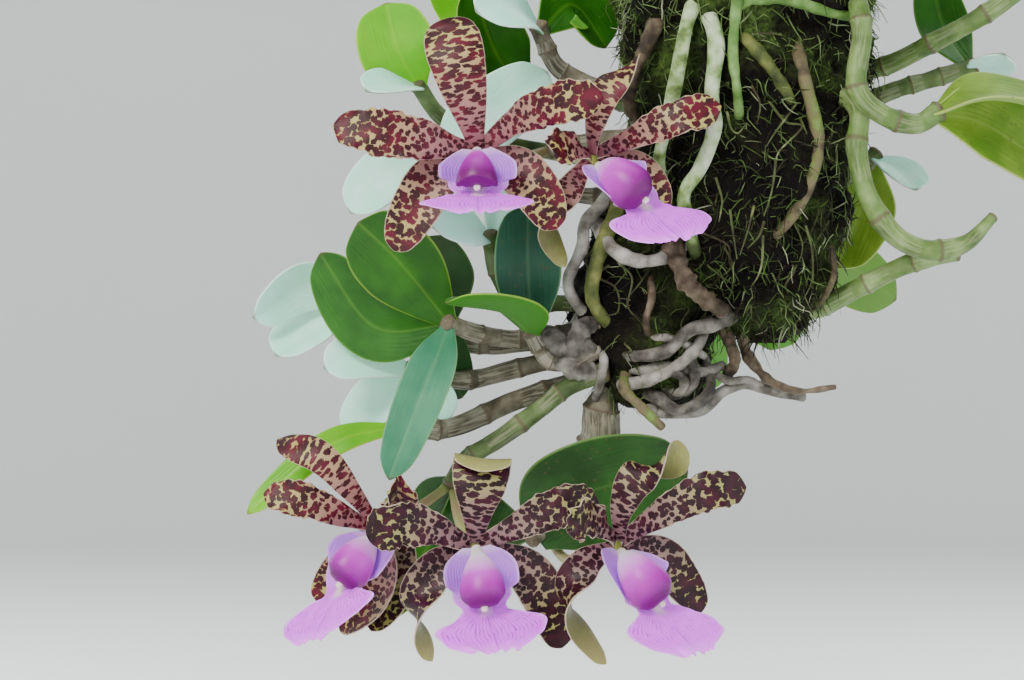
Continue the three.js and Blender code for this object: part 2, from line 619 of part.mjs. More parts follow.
// Canes: jointed stems out of the moss. The leaves start at the cane's tip, so a leaf's path
// holds only the places after that. Two short canes carry flowers in front of the leaves.
const CANES = {
  leafy_cane_far_top_left: {
    r: 3,
    path: [
      [668, 152, 10], [600, 158, 22], [540, 150, 26], [480, 138, 20], [440, 116, 10],
      [417, 84, 4],
    ],
    leaves: [
      { path: [[398, 50, -3], [386, 3, -4]], width: 27, roll: -6 },
      { path: [[396, 86, -8], [366, 91, -20]], width: 18, roll: 62 },
    ],
  },
  leafy_cane_top_left: {
    r: 3.2,
    path: [[656, 112, 10], [610, 100, 28], [562, 94, 33], [522, 90, 29]],
    leaves: [
      { path: [[496, 55, 21], [470, -16, 12]], width: 26, roll: 12 },
      { path: [[478, 20, 40], [436, -32, 36]], width: 22, roll: -10 },
    ],
  },
  leafy_cane_top: {
    r: 3.2,
    path: [
      [656, 94, 0], [610, 92, -2], [575, 78, -4], [556, 66, -5], [545, 45, -7], [538, 26, -10],
    ],
    leaves: [
      { path: [[512, 8, -26], [476, 12, -42]], width: 24, roll: 64 },
      { path: [[572, 6, 4], [606, 48, 4]], width: 24, roll: 0 },
    ],
  },
  flowering_cane_top: {
    r: 3,
    path: [[664, 138, -8], [620, 138, -8], [585, 142, -4], [551, 150, 0]],
  },
  leafy_cane_behind_flower: {
    r: 3,
    path: [
      [674, 186, 8], [610, 196, 16], [560, 192, 20], [500, 178, 16], [455, 164, 10],
      [433, 157, 8],
    ],
    leaves: [
      { path: [[395, 172, -2], [350, 213, -8]], width: 22, roll: 38 },
      { path: [[482, 124, -2], [548, 72, 6]], width: 25, roll: -8 },
    ],
  },
  leafy_cane_under_flower: {
    r: 3,
    path: [[606, 304, -4], [552, 303, 0], [516, 300, -4], [497, 272, -8], [489, 234, -10]],
    leaves: [
      { path: [[460, 228, -18], [430, 224, -26]], width: 20, roll: 48 },
      { path: [[502, 208, -2], [522, 184, 4]], width: 18, roll: 20 },
    ],
  },
  leafy_cane_centre_left: {
    r: 3.2,
    path: [[602, 324, -8], [560, 334, -2], [520, 339, 4], [480, 334, -4], [446, 322, -15]],
    leaves: [
      { path: [[400, 262, -25], [358, 222, -28]], width: 29, roll: -12 },
      { path: [[375, 326, -13], [320, 253, -16]], width: 23, roll: -18 },
      { path: [[428, 380, -28], [389, 480, -34]], width: 17, roll: 10 },
      { path: [[440, 282, 0], [420, 238, 8]], width: 24, roll: 10 },
    ],
  },
  leafy_cane_far_left: {
    r: 3,
    path: [[600, 322, 9], [530, 342, 13], [480, 346, 15], [420, 334, 14], [352, 301, 8]],
    leaves: [
      { path: [[302, 285, 0], [253, 318, -10]], width: 19, roll: -12 },
      { path: [[312, 330, 4], [276, 356, -4]], width: 20, roll: 40 },
    ],
  },
  leafy_cane_middle_left: {
    r: 3.4,
    path: [[596, 350, 10], [520, 368, 12], [470, 380, 10], [432, 377, 6], [408, 371, 3]],
    leaves: [
      { path: [[364, 360, -6], [324, 368, -14]], width: 18, roll: 40 },
      { path: [[382, 398, 8], [346, 436, 12]], width: 20, roll: 30 },
      { path: [[436, 346, 4], [462, 398, 16]], width: 18, roll: 20 },
    ],
  },
  leafy_cane_centre: {
    r: 3,
    path: [[600, 348, -8], [574, 362, -8], [552, 362, -7], [539, 348, -8], [530, 331, -10]],
    leaves: [
      { path: [[505, 312, -26], [446, 303, -34]], width: 28, facing: [0, -0.3, 1] },
      { path: [[528, 270, -17], [528, 205, -14]], width: 23, roll: 0 },
    ],
  },
  leafy_cane_low_left: {
    r: 3.6,
    path: [
      [598, 374, 11], [556, 388, 10], [512, 402, 8], [460, 425, 4], [430, 430, 0], [402, 425, -3],
    ],
    leaves: [
      { path: [[330, 446, -12], [247, 514, -18]], width: 11, roll: 30 },
      { path: [[424, 410, 4], [452, 386, 4]], width: 17, roll: 26 },
    ],
  },
  flowering_cane_low: {
    r: 3.3,
    path: [
      [604, 372, -8], [566, 388, -8], [541, 408, -8], [500, 438, -8], [466, 460, -8],
      [452, 484, -8],
    ],
    leaves: [
      { path: [[434, 500, 0], [418, 524, 2]], width: 15, roll: 30 },
      { path: [[430, 545, 8], [374, 616, 14]], width: 22, roll: 22 },
    ],
  },
  flowering_cane_large_leaf: {
    r: 3.8,
    swell: 1.9,
    path: [[614, 384, 2], [602, 408, 2], [600, 442, 6], [580, 500, 12], [530, 537, 3]],
    leaves: [
      { path: [[588, 492, -5], [688, 467, -3]], width: 40, roll: 8, peak: 0.42, base: 0.34 },
      { path: [[490, 528, 12], [440, 498, 18]], width: 22, roll: 16 },
    ],
  },
  leafy_cane_right: {
    r: 3.6,
    path: [
      [846, -28, -18], [858, 4, -38], [862, 36, -42], [857, 86, -44], [880, 113, -43],
      [915, 124, -42], [938, 112, -41],
    ],
    leaves: [
      { path: [[990, 98, -42], [1086, 118, -36]], width: 32, facing: [0.1, -0.35, 1] },
      { path: [[985, 126, -28], [1070, 182, -14]], width: 28, roll: -14 },
    ],
  },
  old_cane_right: {
    r: 3.6,
    dry: true,
    path: [
      [828, 84, -15], [858, 110, -30], [857, 150, -34], [868, 196, -35], [895, 235, -35],
      [930, 250, -34], [966, 243, -32], [993, 217, -30],
    ],
  },
  leafy_cane_top_right: {
    r: 3.4,
    path: [[836, 74, 10], [884, 66, 4], [930, 44, -5], [985, 14, -9], [1042, -26, -10]],
    leaves: [
      { path: [[1084, -40, -20], [1122, -20, -30]], width: 25, roll: 20 },
      { path: [[1052, -76, 4], [1034, -126, 10]], width: 25, roll: -10 },
    ],
  },
  leafy_cane_upper_right: {
    r: 3.2,
    path: [[836, 116, 8], [890, 92, 8], [930, 80, 8], [974, 67, 8]],
    leaves: [
      { path: [[990, 62, 0], [1004, 54, -12]], width: 16, roll: 60 },
      { path: [[944, 30, 20], [930, -22, 26]], width: 19, roll: 10 },
    ],
  },
  leafy_cane_behind_right: {
    r: 3,
    path: [[826, 184, 10], [846, 178, 22], [862, 168, 28], [876, 154, 29]],
    leaves: [
      { path: [[898, 172, 22], [916, 190, 10]], width: 17, facing: [0.1, -0.5, 1] },
      { path: [[862, 206, 40], [836, 268, 40]], width: 25, roll: 8 },
    ],
  },
  old_cane_low_right: {
    r: 3.5,
    dry: true,
    path: [[796, 314, 0], [824, 306, -2], [866, 284, -6], [914, 262, -11], [958, 256, -16]],
  },
  leafy_cane_back_top: {
    r: 3.3,
    path: [[745, 60, 32], [740, 64, 58], [735, 40, 84], [726, -6, 102]],
    leaves: [
      { path: [[700, -40, 118], [640, -50, 122]], width: 28, roll: 160 },
      { path: [[770, -30, 122], [826, -20, 132]], width: 28, roll: 200 },
    ],
  },
  leafy_cane_back_right: {
    r: 3.3,
    path: [[744, 140, 30], [770, 150, 56], [790, 190, 78], [802, 246, 93]],
    leaves: [
      { path: [[840, 260, 110], [896, 300, 116]], width: 28, roll: 170 },
      { path: [[780, 290, 108], [770, 350, 106]], width: 26, roll: 190 },
    ],
  },
  leafy_cane_back_left: {
    r: 3.3,
    path: [[716, 172, 27], [690, 190, 46], [668, 240, 60], [659, 296, 69]],
    leaves: [
      { path: [[630, 324, 84], [580, 330, 92]], width: 26, roll: 170 },
      { path: [[690, 340, 84], [700, 396, 84]], width: 26, roll: 190 },
    ],
  },
};

// A cane swells at its middle, has a raised ring at each joint, and a dry tip tapers off.
function caneRadius({ r, swell = 1, dry = false }) {
  return (u) => {
    const belly = 1 + (swell - 1) * Math.sin(Math.PI * u);
    const joint = JOINT_SWELL * Math.abs(Math.cos(Math.PI * CANE_JOINTS * u)) ** 4;
    const taper = dry && u > DRY_TIP.from ? 1 - DRY_TIP.taper * (u - DRY_TIP.from) : 1;
    return r * (CANE_WAIST + joint) * belly * taper;
  };
}

function caneStem(cane, grow = 0) {
  return stem(alongLine(cane.path.map(seen), STEPS.cane), caneRadius(cane), SIDES.cane, { grow });
}

const LEAF = { base: 0.2, peak: 0.52, end: 0.12, fold: 0.2, cup: 0.1 };

function leafyCane(cane) {
  const [before, end] = cane.path.slice(-2).map(seen);
  const foot = end.clone().addScaledVector(end.clone().sub(before).normalize(), -LEAF_ROOT);
  const leaves = (cane.leaves ?? []).map((leaf) => {
    const line = [foot, ...leaf.path.map(seen)];
    return blade({ ...LEAF, ...leaf, line }, LEAF_THICKNESS, GRID.leaf);
  });
  return fused([caneStem(cane), ...leaves]);
}

// Flowers: each has a dorsal sepal, two petals, two lower sepals, a stalk, a column and a lip.
const SEPAL = { base: 0.3, peak: 0.78, end: 0.28, foot: 1.7, cup: -0.12 };
const PETAL = { base: 0.34, peak: 0.73, end: 0.3, foot: 1.5, wave: 1.2, waves: 2.6 };
const LOWER_SEPAL = { base: 0.36, peak: 0.48, end: 0.12, cup: 0.2 };
const FLOWERS = {
  upper_left: {
    centre: [477, 152, -40],
    stalk: [[477, 153, -38], [505, 162, -20], [540, 153, -3], [549, 150, 0]],
    dorsal: {
      path: [[477, 150, -42], [473, 110, -48], [464, 60, -50], [456, 19, -44]],
      width: 19.5, end: 0.4,
    },
    petal_left: {
      path: [[473, 151, -42], [430, 141, -50], [385, 133, -54], [333, 126, -52]],
      width: 16, roll: 8,
    },
    petal_right: {
      path: [[482, 149, -41], [515, 121, -49], [555, 104, -61], [602, 96, -65]],
      width: 14, roll: -14,
    },
    sepal_left: {
      path: [[471, 156, -40], [439, 175, -41], [416, 208, -43], [394, 251, -42]],
      width: 17.5, roll: 10,
    },
    sepal_right: {
      path: [[484, 156, -40], [514, 168, -41], [537, 192, -43], [557, 229, -40]],
      width: 17, roll: -10,
    },
    lip: {
      path: [[477, 150, -45], [478, 172, -47], [478, 192, -51], [478, 212, -78]],
      lobes: 26, neck: 14, fan: 37.4,
    },
    column: { path: [[477, 166, -54], [477, 189, -56]], r: 7 },
  },
  upper_right: {
    centre: [592, 157, -40],
    stalk: [[592, 158, -38], [583, 161, -22], [571, 154, -9], [566, 148, -4]],
    dorsal: {
      path: [[592, 154, -41], [594, 126, -46], [606, 91, -48], [640, 54, -42]],
      width: 12, roll: -32,
    },
    petal_left: {
      path: [[590, 156, -41], [575, 147, -48], [563, 146, -54], [555, 154, -60]],
      width: 13, roll: 40,
    },
    petal_right: {
      path: [[597, 153, -40.5], [634, 137, -49], [673, 119, -56], [721, 106, -54]],
      width: 12, roll: -8, peak: 0.78, end: 0.12,
    },
    sepal_left: {
      path: [[587, 160, -39], [569, 188, -31], [549, 226, -26], [565, 267, -24]],
      width: 11, roll: -20, twist: 60,
    },
    sepal_right: {
      path: [[598, 160, -39], [630, 168, -40], [649, 186, -40], [664, 212, -40]],
      width: 14, roll: -14,
    },
    lip: {
      path: [[598, 166, -45], [616, 182, -54], [641, 204, -58], [681, 240, -78]],
      lobes: 23, neck: 13, fan: 36, facing: [0.05, -0.51, 0.86],
    },
    column: { path: [[613, 173, -61], [642, 197, -65]], r: 7.6 },
  },
  lower_left: {
    centre: [380, 530, -26],
    stalk: [[381, 531, -24], [412, 512, -12], [446, 488, -8]],
    dorsal: {
      path: [[378, 526, -28], [352, 492, -34], [320, 457, -36], [277, 440, -30]],
      width: 11.5, roll: 14, end: 0.12,
    },
    petal_left: {
      path: [[374, 527, -27], [339, 514, -34], [304, 500, -38], [264, 494, -36]],
      width: 12, roll: 12,
    },
    petal_right: {
      path: [[384, 526, -27], [391, 508, -34], [397, 494, -42], [396, 480, -50]],
      width: 12, roll: 36,
    },
    sepal_left: {
      path: [[374, 534, -25], [352, 556, -18], [334, 578, -14], [317, 602, -12]],
      width: 13,
    },
    sepal_right: {
      path: [[384, 535, -26], [386, 568, -26], [374, 602, -26], [340, 632, -24]],
      width: 16, roll: 24,
    },
    lip: {
      path: [[377, 536, -29.3], [362, 558, -40], [343, 585, -45], [301, 641, -61]],
      lobes: 23, neck: 12.5, fan: 36, facing: [-0.53, -0.8, -0.28],
    },
    column: { path: [[362, 552, -47], [342, 581, -51]], r: 7.4 },
  },
  lower_middle: {
    centre: [475, 545, -42],
    stalk: [[474, 545, -40], [460, 522, -22], [453, 492, -10]],
    dorsal: {
      path: [[475, 542, -43], [477, 512, -51], [480, 483, -54], [483, 459, -48]],
      width: 19.5, peak: 0.86, end: 0.5,
    },
    petal_left: {
      path: [[470, 545, -43], [436, 530, -53], [402, 525, -59], [367, 535, -62]],
      width: 15.5, roll: 6,
    },
    petal_right: {
      path: [[480, 544, -43], [520, 525, -49], [560, 507, -51], [599, 504, -46]],
      width: 14, roll: -6,
    },
    sepal_left: {
      path: [[469, 549, -41], [437, 568, -44], [417, 607, -46], [432, 661, -40]],
      width: 14, roll: 12, twist: 40,
    },
    sepal_right: {
      path: [[482, 549, -41], [524, 569, -41], [547, 604, -41], [562, 648, -38]],
      width: 16, roll: -12,
    },
    lip: {
      path: [[476, 548, -45.7], [480, 574, -49], [484, 606, -53], [500, 652, -76]],
      lobes: 25, neck: 14, fan: 37, facing: [0.1, -1, 0.25],
    },
    column: { path: [[480, 570, -57], [484, 604, -61]], r: 7.6 },
  },
  lower_right: {
    centre: [617, 543, -40],
    stalk: [[616, 545, -38], [592, 560, -20], [566, 559, 2], [553, 543, 9], [551, 532, 8]],
    dorsal: {
      path: [[619, 540, -41], [622, 508, -48], [641, 474, -50], [689, 453, -42]],
      width: 12.5, roll: -20, twist: -20, end: 0.12,
    },
    petal_left: {
      path: [[615, 541, -41], [600, 524, -51], [586, 517, -62], [571, 529, -72]],
      width: 13, roll: 40,
    },
    petal_right: {
      path: [[622, 540, -41], [658, 516, -50], [702, 493, -54], [746, 487, -50]],
      width: 13, roll: -6,
    },
    sepal_left: {
      path: [[612, 547, -40], [582, 568, -46], [570, 609, -48], [606, 664, -42]],
      width: 13, roll: 16, twist: 50,
    },
    sepal_right: {
      path: [[622, 546, -40], [658, 555, -38], [680, 580, -36], [702, 612, -34]],
      width: 14.5, roll: -12,
    },
    lip: {
      path: [[621, 552, -44], [632, 574, -54], [652, 604, -58], [699, 654, -76]],
      lobes: 24, neck: 13, fan: 36, facing: [0.37, -0.9, 0.23],
    },
    column: { path: [[633, 568, -62], [659, 600, -65]], r: 7.8 },
  },
};

// The lip's width along its length: two rounded side lobes, a narrow neck and a broad fan.
// A smooth line goes through the marks, each a share of the length and its width.
function lipWidth({ lobes, neck, fan }) {
  const marks = [
    [0, 0.3 * lobes], [0.12, 0.7 * lobes], [0.26, 0.95 * lobes], [0.4, lobes], [0.54, 0.88 * lobes],
    [0.64, 1.15 * neck], [0.71, neck],
    [0.78, 0.62 * fan], [0.85, 0.95 * fan], [0.9, fan], [0.96, 0.84 * fan], [1, 0.5 * fan],
  ];
  const slope = (k) => {
    const [before, after] = [marks[Math.max(k - 1, 0)], marks[Math.min(k + 1, marks.length - 1)]];
    return (after[1] - before[1]) / (after[0] - before[0]);
  };
  return (u) => {
    const k = Math.min(marks.length - 2, marks.filter(([at]) => at <= u).length - 1);
    const [[u0, w0], [u1, w1]] = [marks[k], marks[k + 1]];
    const [span, t] = [u1 - u0, (u - u0) / (u1 - u0)];
    const kept = (1 + 2 * t) * (1 - t) ** 2;
    const bend = t * (1 - t) ** 2 * slope(k) - t * t * (1 - t) * slope(k + 1);
    return (kept * w0 + (1 - kept) * w1 + span * bend) / fan;
  };
}

// The side lobes stand up round the column, and the fan behind them is nearly flat.
const lobeCup = (u) => 0.45 * (1 - THREE.MathUtils.smoothstep(u, 0.48, 0.7));

function tepals(flower) {
  const one = (kind, name) => {
    const shape = { ...kind, ...flower[name] };
    return blade({ ...shape, line: shape.path.map(seen) }, PETAL_THICKNESS, GRID.petal);
  };
  const stalkLine = alongLine(flower.stalk.map(seen), STEPS.stalk);
  return fused([
    primitive(new THREE.IcosahedronGeometry(HUB_RADIUS, 0).translate(...seen(flower.centre))),
    stem(stalkLine, tapered(STALK_RADIUS, TAPER.stalk), SIDES.stalk),
    one(SEPAL, "dorsal"),
    one(PETAL, "petal_left"),
    one(PETAL, "petal_right"),
    one(LOWER_SEPAL, "sepal_left"),
    one(LOWER_SEPAL, "sepal_right"),
  ]);
}

// The column is a glossy drop: narrow where it leaves the flower, broad below, rounded off.
// It starts where the lip does.
const columnRadius = (r) => (u) => r * (0.25 + 0.75 * Math.sin(0.9 * Math.PI * u ** 2));

function lipAndColumn({ lip, column }) {
  const shape = { widthAt: lipWidth(lip), width: lip.fan, cupAt: lobeCup, bow: 0.3, ...lip };
  const columnLine = alongLine([lip.path[0], ...column.path].map(seen), STEPS.column);
  return fused([
    blade({ ...shape, line: lip.path.map(seen) }, LIP_THICKNESS, GRID.lip),
    stem(columnLine, columnRadius(column.r), SIDES.column, { flat: COLUMN_FLATNESS }),
  ]);
}

// Assembly.

const plant = new THREE.Group();

function place(name, body, finish) {
  const mesh = new THREE.Mesh(geometryOf(mainBody(body)), FINISH[finish]);
  mesh.name = name;
  plant.add(mesh);
}

const caneRoom = Object.values(CANES).map((cane) => caneStem(cane, GAP));
const slats = basketSlats();
const corners = [[-1, -1], [1, -1], [-1, 1], [1, 1]];
const floorRoom = [-1, 1].map((end) => {
  const z = BASKET_TOP - SLAT / 2 - (SLAT_LAYERS - 2) * (SLAT + GAP);
  const room = new THREE.BoxGeometry(SLAT + 2 * GAP, 2 * BASKET_OUTSIDE, SLAT + 2 * GAP);
  return primitive(room.translate(end * FLOOR_SLAT_OFFSET, 0, z));
});

const roots = ROOTS.map(({ r, path }) =>
  stem(alongLine(path.map(seen), STEPS.root), tapered(r, TAPER.root), SIDES.root),
);
for (let k = 0; k < HIDDEN_ROOT.count; k++) roots.push(hiddenRoot(k));
const lumps = [lump(MOSS_RINGS, SIDES.moss), lump(ROOT_BALL_RINGS, SIDES.rootBall)];
const moss = fused([...lumps, ...roots]);
place("moss_and_roots", without(moss, [...caneRoom, ...floorRoom]), "moss");

slats.forEach(({ name, body }) => place(name, body, "wood"));
corners.forEach(([x, y]) => {
  const side = `${y < 0 ? "front" : "back"}_${x < 0 ? "left" : "right"}`;
  place(`hanger_wire_${side}`, hangerWire(x, y), "wire");
});
place("hanger_hook", hook(), "wire");

Object.entries(CANES).forEach(([name, cane]) => place(name, leafyCane(cane), "leaf"));

Object.entries(FLOWERS).forEach(([name, flower]) => {
  place(`flower_${name}_petals`, without(tepals(flower), caneRoom), "petal");
  place(`flower_${name}_lip`, lipAndColumn(flower), "lip");
});

export default plant;
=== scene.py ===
# %% [markdown]
# # A spotted cattleya orchid in a hanging basket
# The plant is a body of moss and old roots that hangs out of a slatted basket, with jointed canes,
# stiff leaves and five waxy spotted flowers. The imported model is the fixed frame: it says where each
# piece is. Everything below makes a finer piece in the same place, from the same named sizes, and
# gives it the surface that the real one has. Lengths are in millimetres until a mesh is made.

import bpy
import numpy as np
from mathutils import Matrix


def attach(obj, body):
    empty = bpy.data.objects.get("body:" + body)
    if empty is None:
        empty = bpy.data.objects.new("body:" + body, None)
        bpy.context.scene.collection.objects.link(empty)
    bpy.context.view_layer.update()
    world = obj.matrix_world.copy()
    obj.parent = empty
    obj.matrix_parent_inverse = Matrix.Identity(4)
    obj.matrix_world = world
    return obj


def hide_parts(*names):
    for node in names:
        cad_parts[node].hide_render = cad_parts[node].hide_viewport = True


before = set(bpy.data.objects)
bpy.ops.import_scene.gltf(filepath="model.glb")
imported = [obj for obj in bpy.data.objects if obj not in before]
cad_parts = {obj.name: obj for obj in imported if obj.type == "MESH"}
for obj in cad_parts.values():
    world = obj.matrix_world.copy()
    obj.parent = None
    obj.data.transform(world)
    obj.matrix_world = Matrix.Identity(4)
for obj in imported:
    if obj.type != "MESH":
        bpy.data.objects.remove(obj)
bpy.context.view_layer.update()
print("nodes in the frame:", len(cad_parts))

# %% [markdown]
# ## Sizes
# Each place on the plant is known by where it is seen (a column and a row of the picture) and by its
# depth. One scale turns that into millimetres. It could be modelled by eye, but a rule keeps every
# piece in line with the frame.

# %% Sizes and places
METRES = 0.001
MM_PER_PIXEL = 0.35
VIEW_DISTANCE = 1100.0
PICTURE = (1024, 680)
PICTURE_CENTRE = (512, 340)
HOOK_PLACE = (745, -680)
CENTRE_X = (PICTURE_CENTRE[0] - HOOK_PLACE[0]) * MM_PER_PIXEL
CENTRE_Z = (HOOK_PLACE[1] - PICTURE_CENTRE[1]) * MM_PER_PIXEL
TO_VIEWER = (0.0, -1.0, 0.0)


def seen(place):
    column, row, depth = place
    scale = MM_PER_PIXEL * (VIEW_DISTANCE + depth) / VIEW_DISTANCE
    x = CENTRE_X + (column - PICTURE_CENTRE[0]) * scale
    return np.array([x, depth, CENTRE_Z + (PICTURE_CENTRE[1] - row) * scale])


print("the picture's centre is at", CENTRE_X, CENTRE_Z, "mm")

# %% [markdown]
# ## Camera
# The photograph was taken from level height with a long lens, so nothing is foreshortened much. A
# camera could be aimed with a constraint. Here it is placed once, square to the plant, because its
# distance and width of view are known.

# %% Camera
SENSOR = 36.0
VIEW_WIDTH = PICTURE[0] * MM_PER_PIXEL

camera_data = bpy.data.cameras.new("camera")
camera_data.sensor_width = SENSOR
camera_data.lens = SENSOR * VIEW_DISTANCE / VIEW_WIDTH
camera = bpy.data.objects.new("camera", camera_data)
camera.location = (CENTRE_X * METRES, -VIEW_DISTANCE * METRES, CENTRE_Z * METRES)
camera.rotation_euler = (np.pi / 2, 0, 0)
bpy.context.scene.collection.objects.link(camera)
bpy.context.scene.camera = camera
print("lens", round(camera_data.lens, 1), "mm")

# %% [markdown]
# ## Colours and nodes
# A colour picked from a chart is an sRGB hex value, while Blender mixes light in linear values, so one
# function turns the first into the second. A material is a small tree of nodes. They could be wired
# by hand in the editor. One helper adds a node of any kind with its settings and links, so that a tree
# reads from top to bottom.


# %% Colours and nodes
def colour(text):
    values = [int(text[i : i + 2], 16) / 255 for i in (1, 3, 5)]
    linear = [v / 12.92 if v <= 0.04045 else ((v + 0.055) / 1.055) ** 2.4 for v in values]
    return (*linear, 1.0)


def add(tree, kind, links=None, stops=None, **settings):
    node = tree.nodes.new(kind)
    for name, value in settings.items():
        setattr(node, name, value)
    for place, (at, shade) in enumerate(stops or []):
        marks = node.color_ramp.elements
        mark = marks[place] if place < 2 else marks.new(at)
        mark.position = at
        mark.color = colour(shade) if isinstance(shade, str) else (shade, shade, shade, 1.0)
    for socket, value in (links or {}).items():
        if isinstance(value, bpy.types.NodeSocket):
            tree.links.new(value, node.inputs[socket])
        else:
            node.inputs[socket].default_value = value
    return node.outputs


def finish(name, roughness, **settings):
    made = bpy.data.materials.new(name)
    made.use_nodes = True
    tree = made.node_tree
    shader = tree.nodes["Principled BSDF"]
    shader.inputs["Roughness"].default_value = roughness
    for socket, value in settings.items():
        shader.inputs[socket.replace("_", " ")].default_value = value
    return made, tree, shader.inputs


print("petal pink in linear values:", [round(v, 3) for v in colour("#c98d7e")])

# %% [markdown]
# ## Light and backdrop
# The photograph was lit softly from the front, above the viewer's left. Sun lamps give hard shadows,
# so large area lamps stand in for a studio's soft boxes. The floor turns up into a round wall, like a
# photographer's paper sweep, so that every side of the plant is seen against the same pale surface.

# %% Light and backdrop
FLOOR_Z = -0.66
SWEEP = {"flat": 3.6, "bend": 1.4, "top": 4.2, "steps": 16, "sides": 64}
PAPER_LAMPS = {"count": 4, "out": 1.6, "up": 0.6, "size": 1.2, "power": 46}


def aimed(location, target):
    away = np.array(target, float) - np.array(location, float)
    away /= np.linalg.norm(away)
    return (np.arccos(-away[2]), 0.0, np.arctan2(away[1], away[0]) - np.pi / 2)


def soft_box(name, location, size, power, tint, target=(-0.05, 0, -0.34)):
    data = bpy.data.lights.new(name, "AREA")
    data.size = size
    data.energy = power
    data.color = colour(tint)[:3]
    lamp = bpy.data.objects.new(name, data)
    lamp.location = location
    lamp.rotation_euler = aimed(location, target)
    lamp.visible_camera = False
    bpy.context.scene.collection.objects.link(lamp)


soft_box("key_left_front", (-0.9, -1.6, 0.8), 0.6, 38, "#fff8ee")
soft_box("fill_right_front", (1.5, -1.3, 0.0), 1.2, 8, "#f2f6ff")
soft_box("low_front", (-0.3, -1.7, -0.5), 0.8, 4, "#fffaf4")
soft_box("rim_behind", (0.7, 1.5, 0.9), 1.0, 16, "#ffffff")
soft_box("rim_left", (-1.5, 0.9, 0.2), 1.0, 8, "#f6fbff")
soft_box("top", (0.0, 0.0, 2.6), 2.5, 60, "#ffffff")
# Four lamps stand round the plant and look away from it, at the paper.
for k in range(PAPER_LAMPS["count"]):
    turn, out = np.radians(45 + 90 * k), PAPER_LAMPS["out"]
    spot = np.array([out * np.cos(turn), out * np.sin(turn), PAPER_LAMPS["up"]])
    size, power = PAPER_LAMPS["size"], PAPER_LAMPS["power"]
    soft_box(f"paper_{k + 1}", spot, size, power, "#ffffff", spot * (2, 2, -1.5))

world = bpy.data.worlds.new("studio")
world.use_nodes = True
world.node_tree.nodes["Background"].inputs["Color"].default_value = colour("#eef1f4")
world.node_tree.nodes["Background"].inputs["Strength"].default_value = 0.36
bpy.context.scene.world = world


def backdrop():
    bend = np.radians(np.linspace(0, 90, SWEEP["steps"]))
    radius = [0.0, 1.2, 2.4, *(SWEEP["flat"] + SWEEP["bend"] * np.sin(bend))]
    height = [0.0, 0.0, 0.0, *(SWEEP["bend"] * (1 - np.cos(bend)))]
    radius.append(radius[-1])
    height.append(SWEEP["top"])
    turns = SWEEP["sides"]
    points = [(0.0, 0.0, FLOOR_Z)]
    for r, h in zip(radius[1:], height[1:]):
        for k in range(turns):
            a = 2 * np.pi * k / turns
            points.append((r * np.cos(a), r * np.sin(a), FLOOR_Z + h))
    faces = [(0, 1 + k, 1 + (k + 1) % turns) for k in range(turns)]
    for ring in range(len(radius) - 2):
        for k in range(turns):
            a, b = 1 + ring * turns + k, 1 + ring * turns + (k + 1) % turns
            faces.append((a, a + turns, b + turns, b))
    mesh = bpy.data.meshes.new("paper_sweep")
    mesh.from_pydata(points, [], faces)
    mesh.shade_smooth()
    # Paper is matt and hardly grained, so the eye goes to the plant.
    paper, tree, inputs = finish("matt_paper", 0.95)
    grain = add(tree, "ShaderNodeTexNoise", {"Scale": 3.0, "Detail": 4.0})["Fac"]
    tint = add(tree, "ShaderNodeValToRGB", {0: grain}, [(0.3, "#e0e2e2"), (0.7, "#e8eaea")])
    tree.links.new(tint["Color"], inputs["Base Color"])
    mesh.materials.append(paper)
    sweep = bpy.data.objects.new("paper_sweep", mesh)
    bpy.context.scene.collection.objects.link(sweep)


backdrop()
print("lamps:", len(bpy.data.lights))

# %% [markdown]
# ## Lines and frames
# Every long piece follows a smooth line through a few places. At each point of the line a small frame
# says which way is along it, out of its face and to its side. A curve object could give the same, but
# plain arrays let leaves, petals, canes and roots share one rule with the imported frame.


# %% Lines and frames
def unit(v):
    return v / np.maximum(np.linalg.norm(v, axis=-1, keepdims=True), 1e-9)


def smooth(x, low, high):
    t = np.clip((x - low) / (high - low), 0, 1)
    return t * t * (3 - 2 * t)


def along_line(places, shares):
    points = np.array(places, float)
    last = len(points) - 1
    padded = np.vstack([2 * points[0] - points[1], points, 2 * points[-1] - points[-2]])
    t = np.asarray(shares) * last
    k = np.minimum(t.astype(int), last - 1)
    w = (t - k)[:, None]
    a, b, c, d = (padded[k + i] for i in range(4))
    m, n = (c - a) / 2, (d - b) / 2
    return b + m * w + (3 * (c - b) - 2 * m - n) * w**2 + (2 * (b - c) + m + n) * w**3


def traced(places, count):
    """A smooth line of so many points through places that are seen."""
    return along_line([seen(place) for place in places], np.linspace(0, 1, count))


def frames_along(points, facing=TO_VIEWER, roll=0.0):
    steps = unit(np.diff(points, axis=0))
    along = unit(np.vstack([steps[:1], steps[:-1] + steps[1:], steps[-1:]]))
    out = np.empty_like(points)
    face = np.array(facing, float)
    for i, a in enumerate(along):
        face = unit(face - face @ a * a)
        out[i] = face
    turn = np.radians(roll)
    out = out * np.cos(turn) + np.cross(along, out) * np.sin(turn)
    return along, out, np.cross(along, out)


def waves(x, counts, rng):
    total = sum(np.sin(count * x + rng.uniform(0, 2 * np.pi)) for count in counts)
    return total / len(counts)


print("a line of", len(along_line([(0, 0, 0), (1, 0, 0), (1, 1, 0)], np.linspace(0, 1, 9))), "points")

# %% [markdown]
# ## Meshes
# A shape is a set of points and faces, with numbers kept at each point: its share of the length and
# width, and its real size in millimetres. The surfaces read these, so that a spot, vein or stripe lies
# along the petal or root however it bends. Texture coordinates could do this too, but they need an
# unwrapping that long twisted pieces make hard.


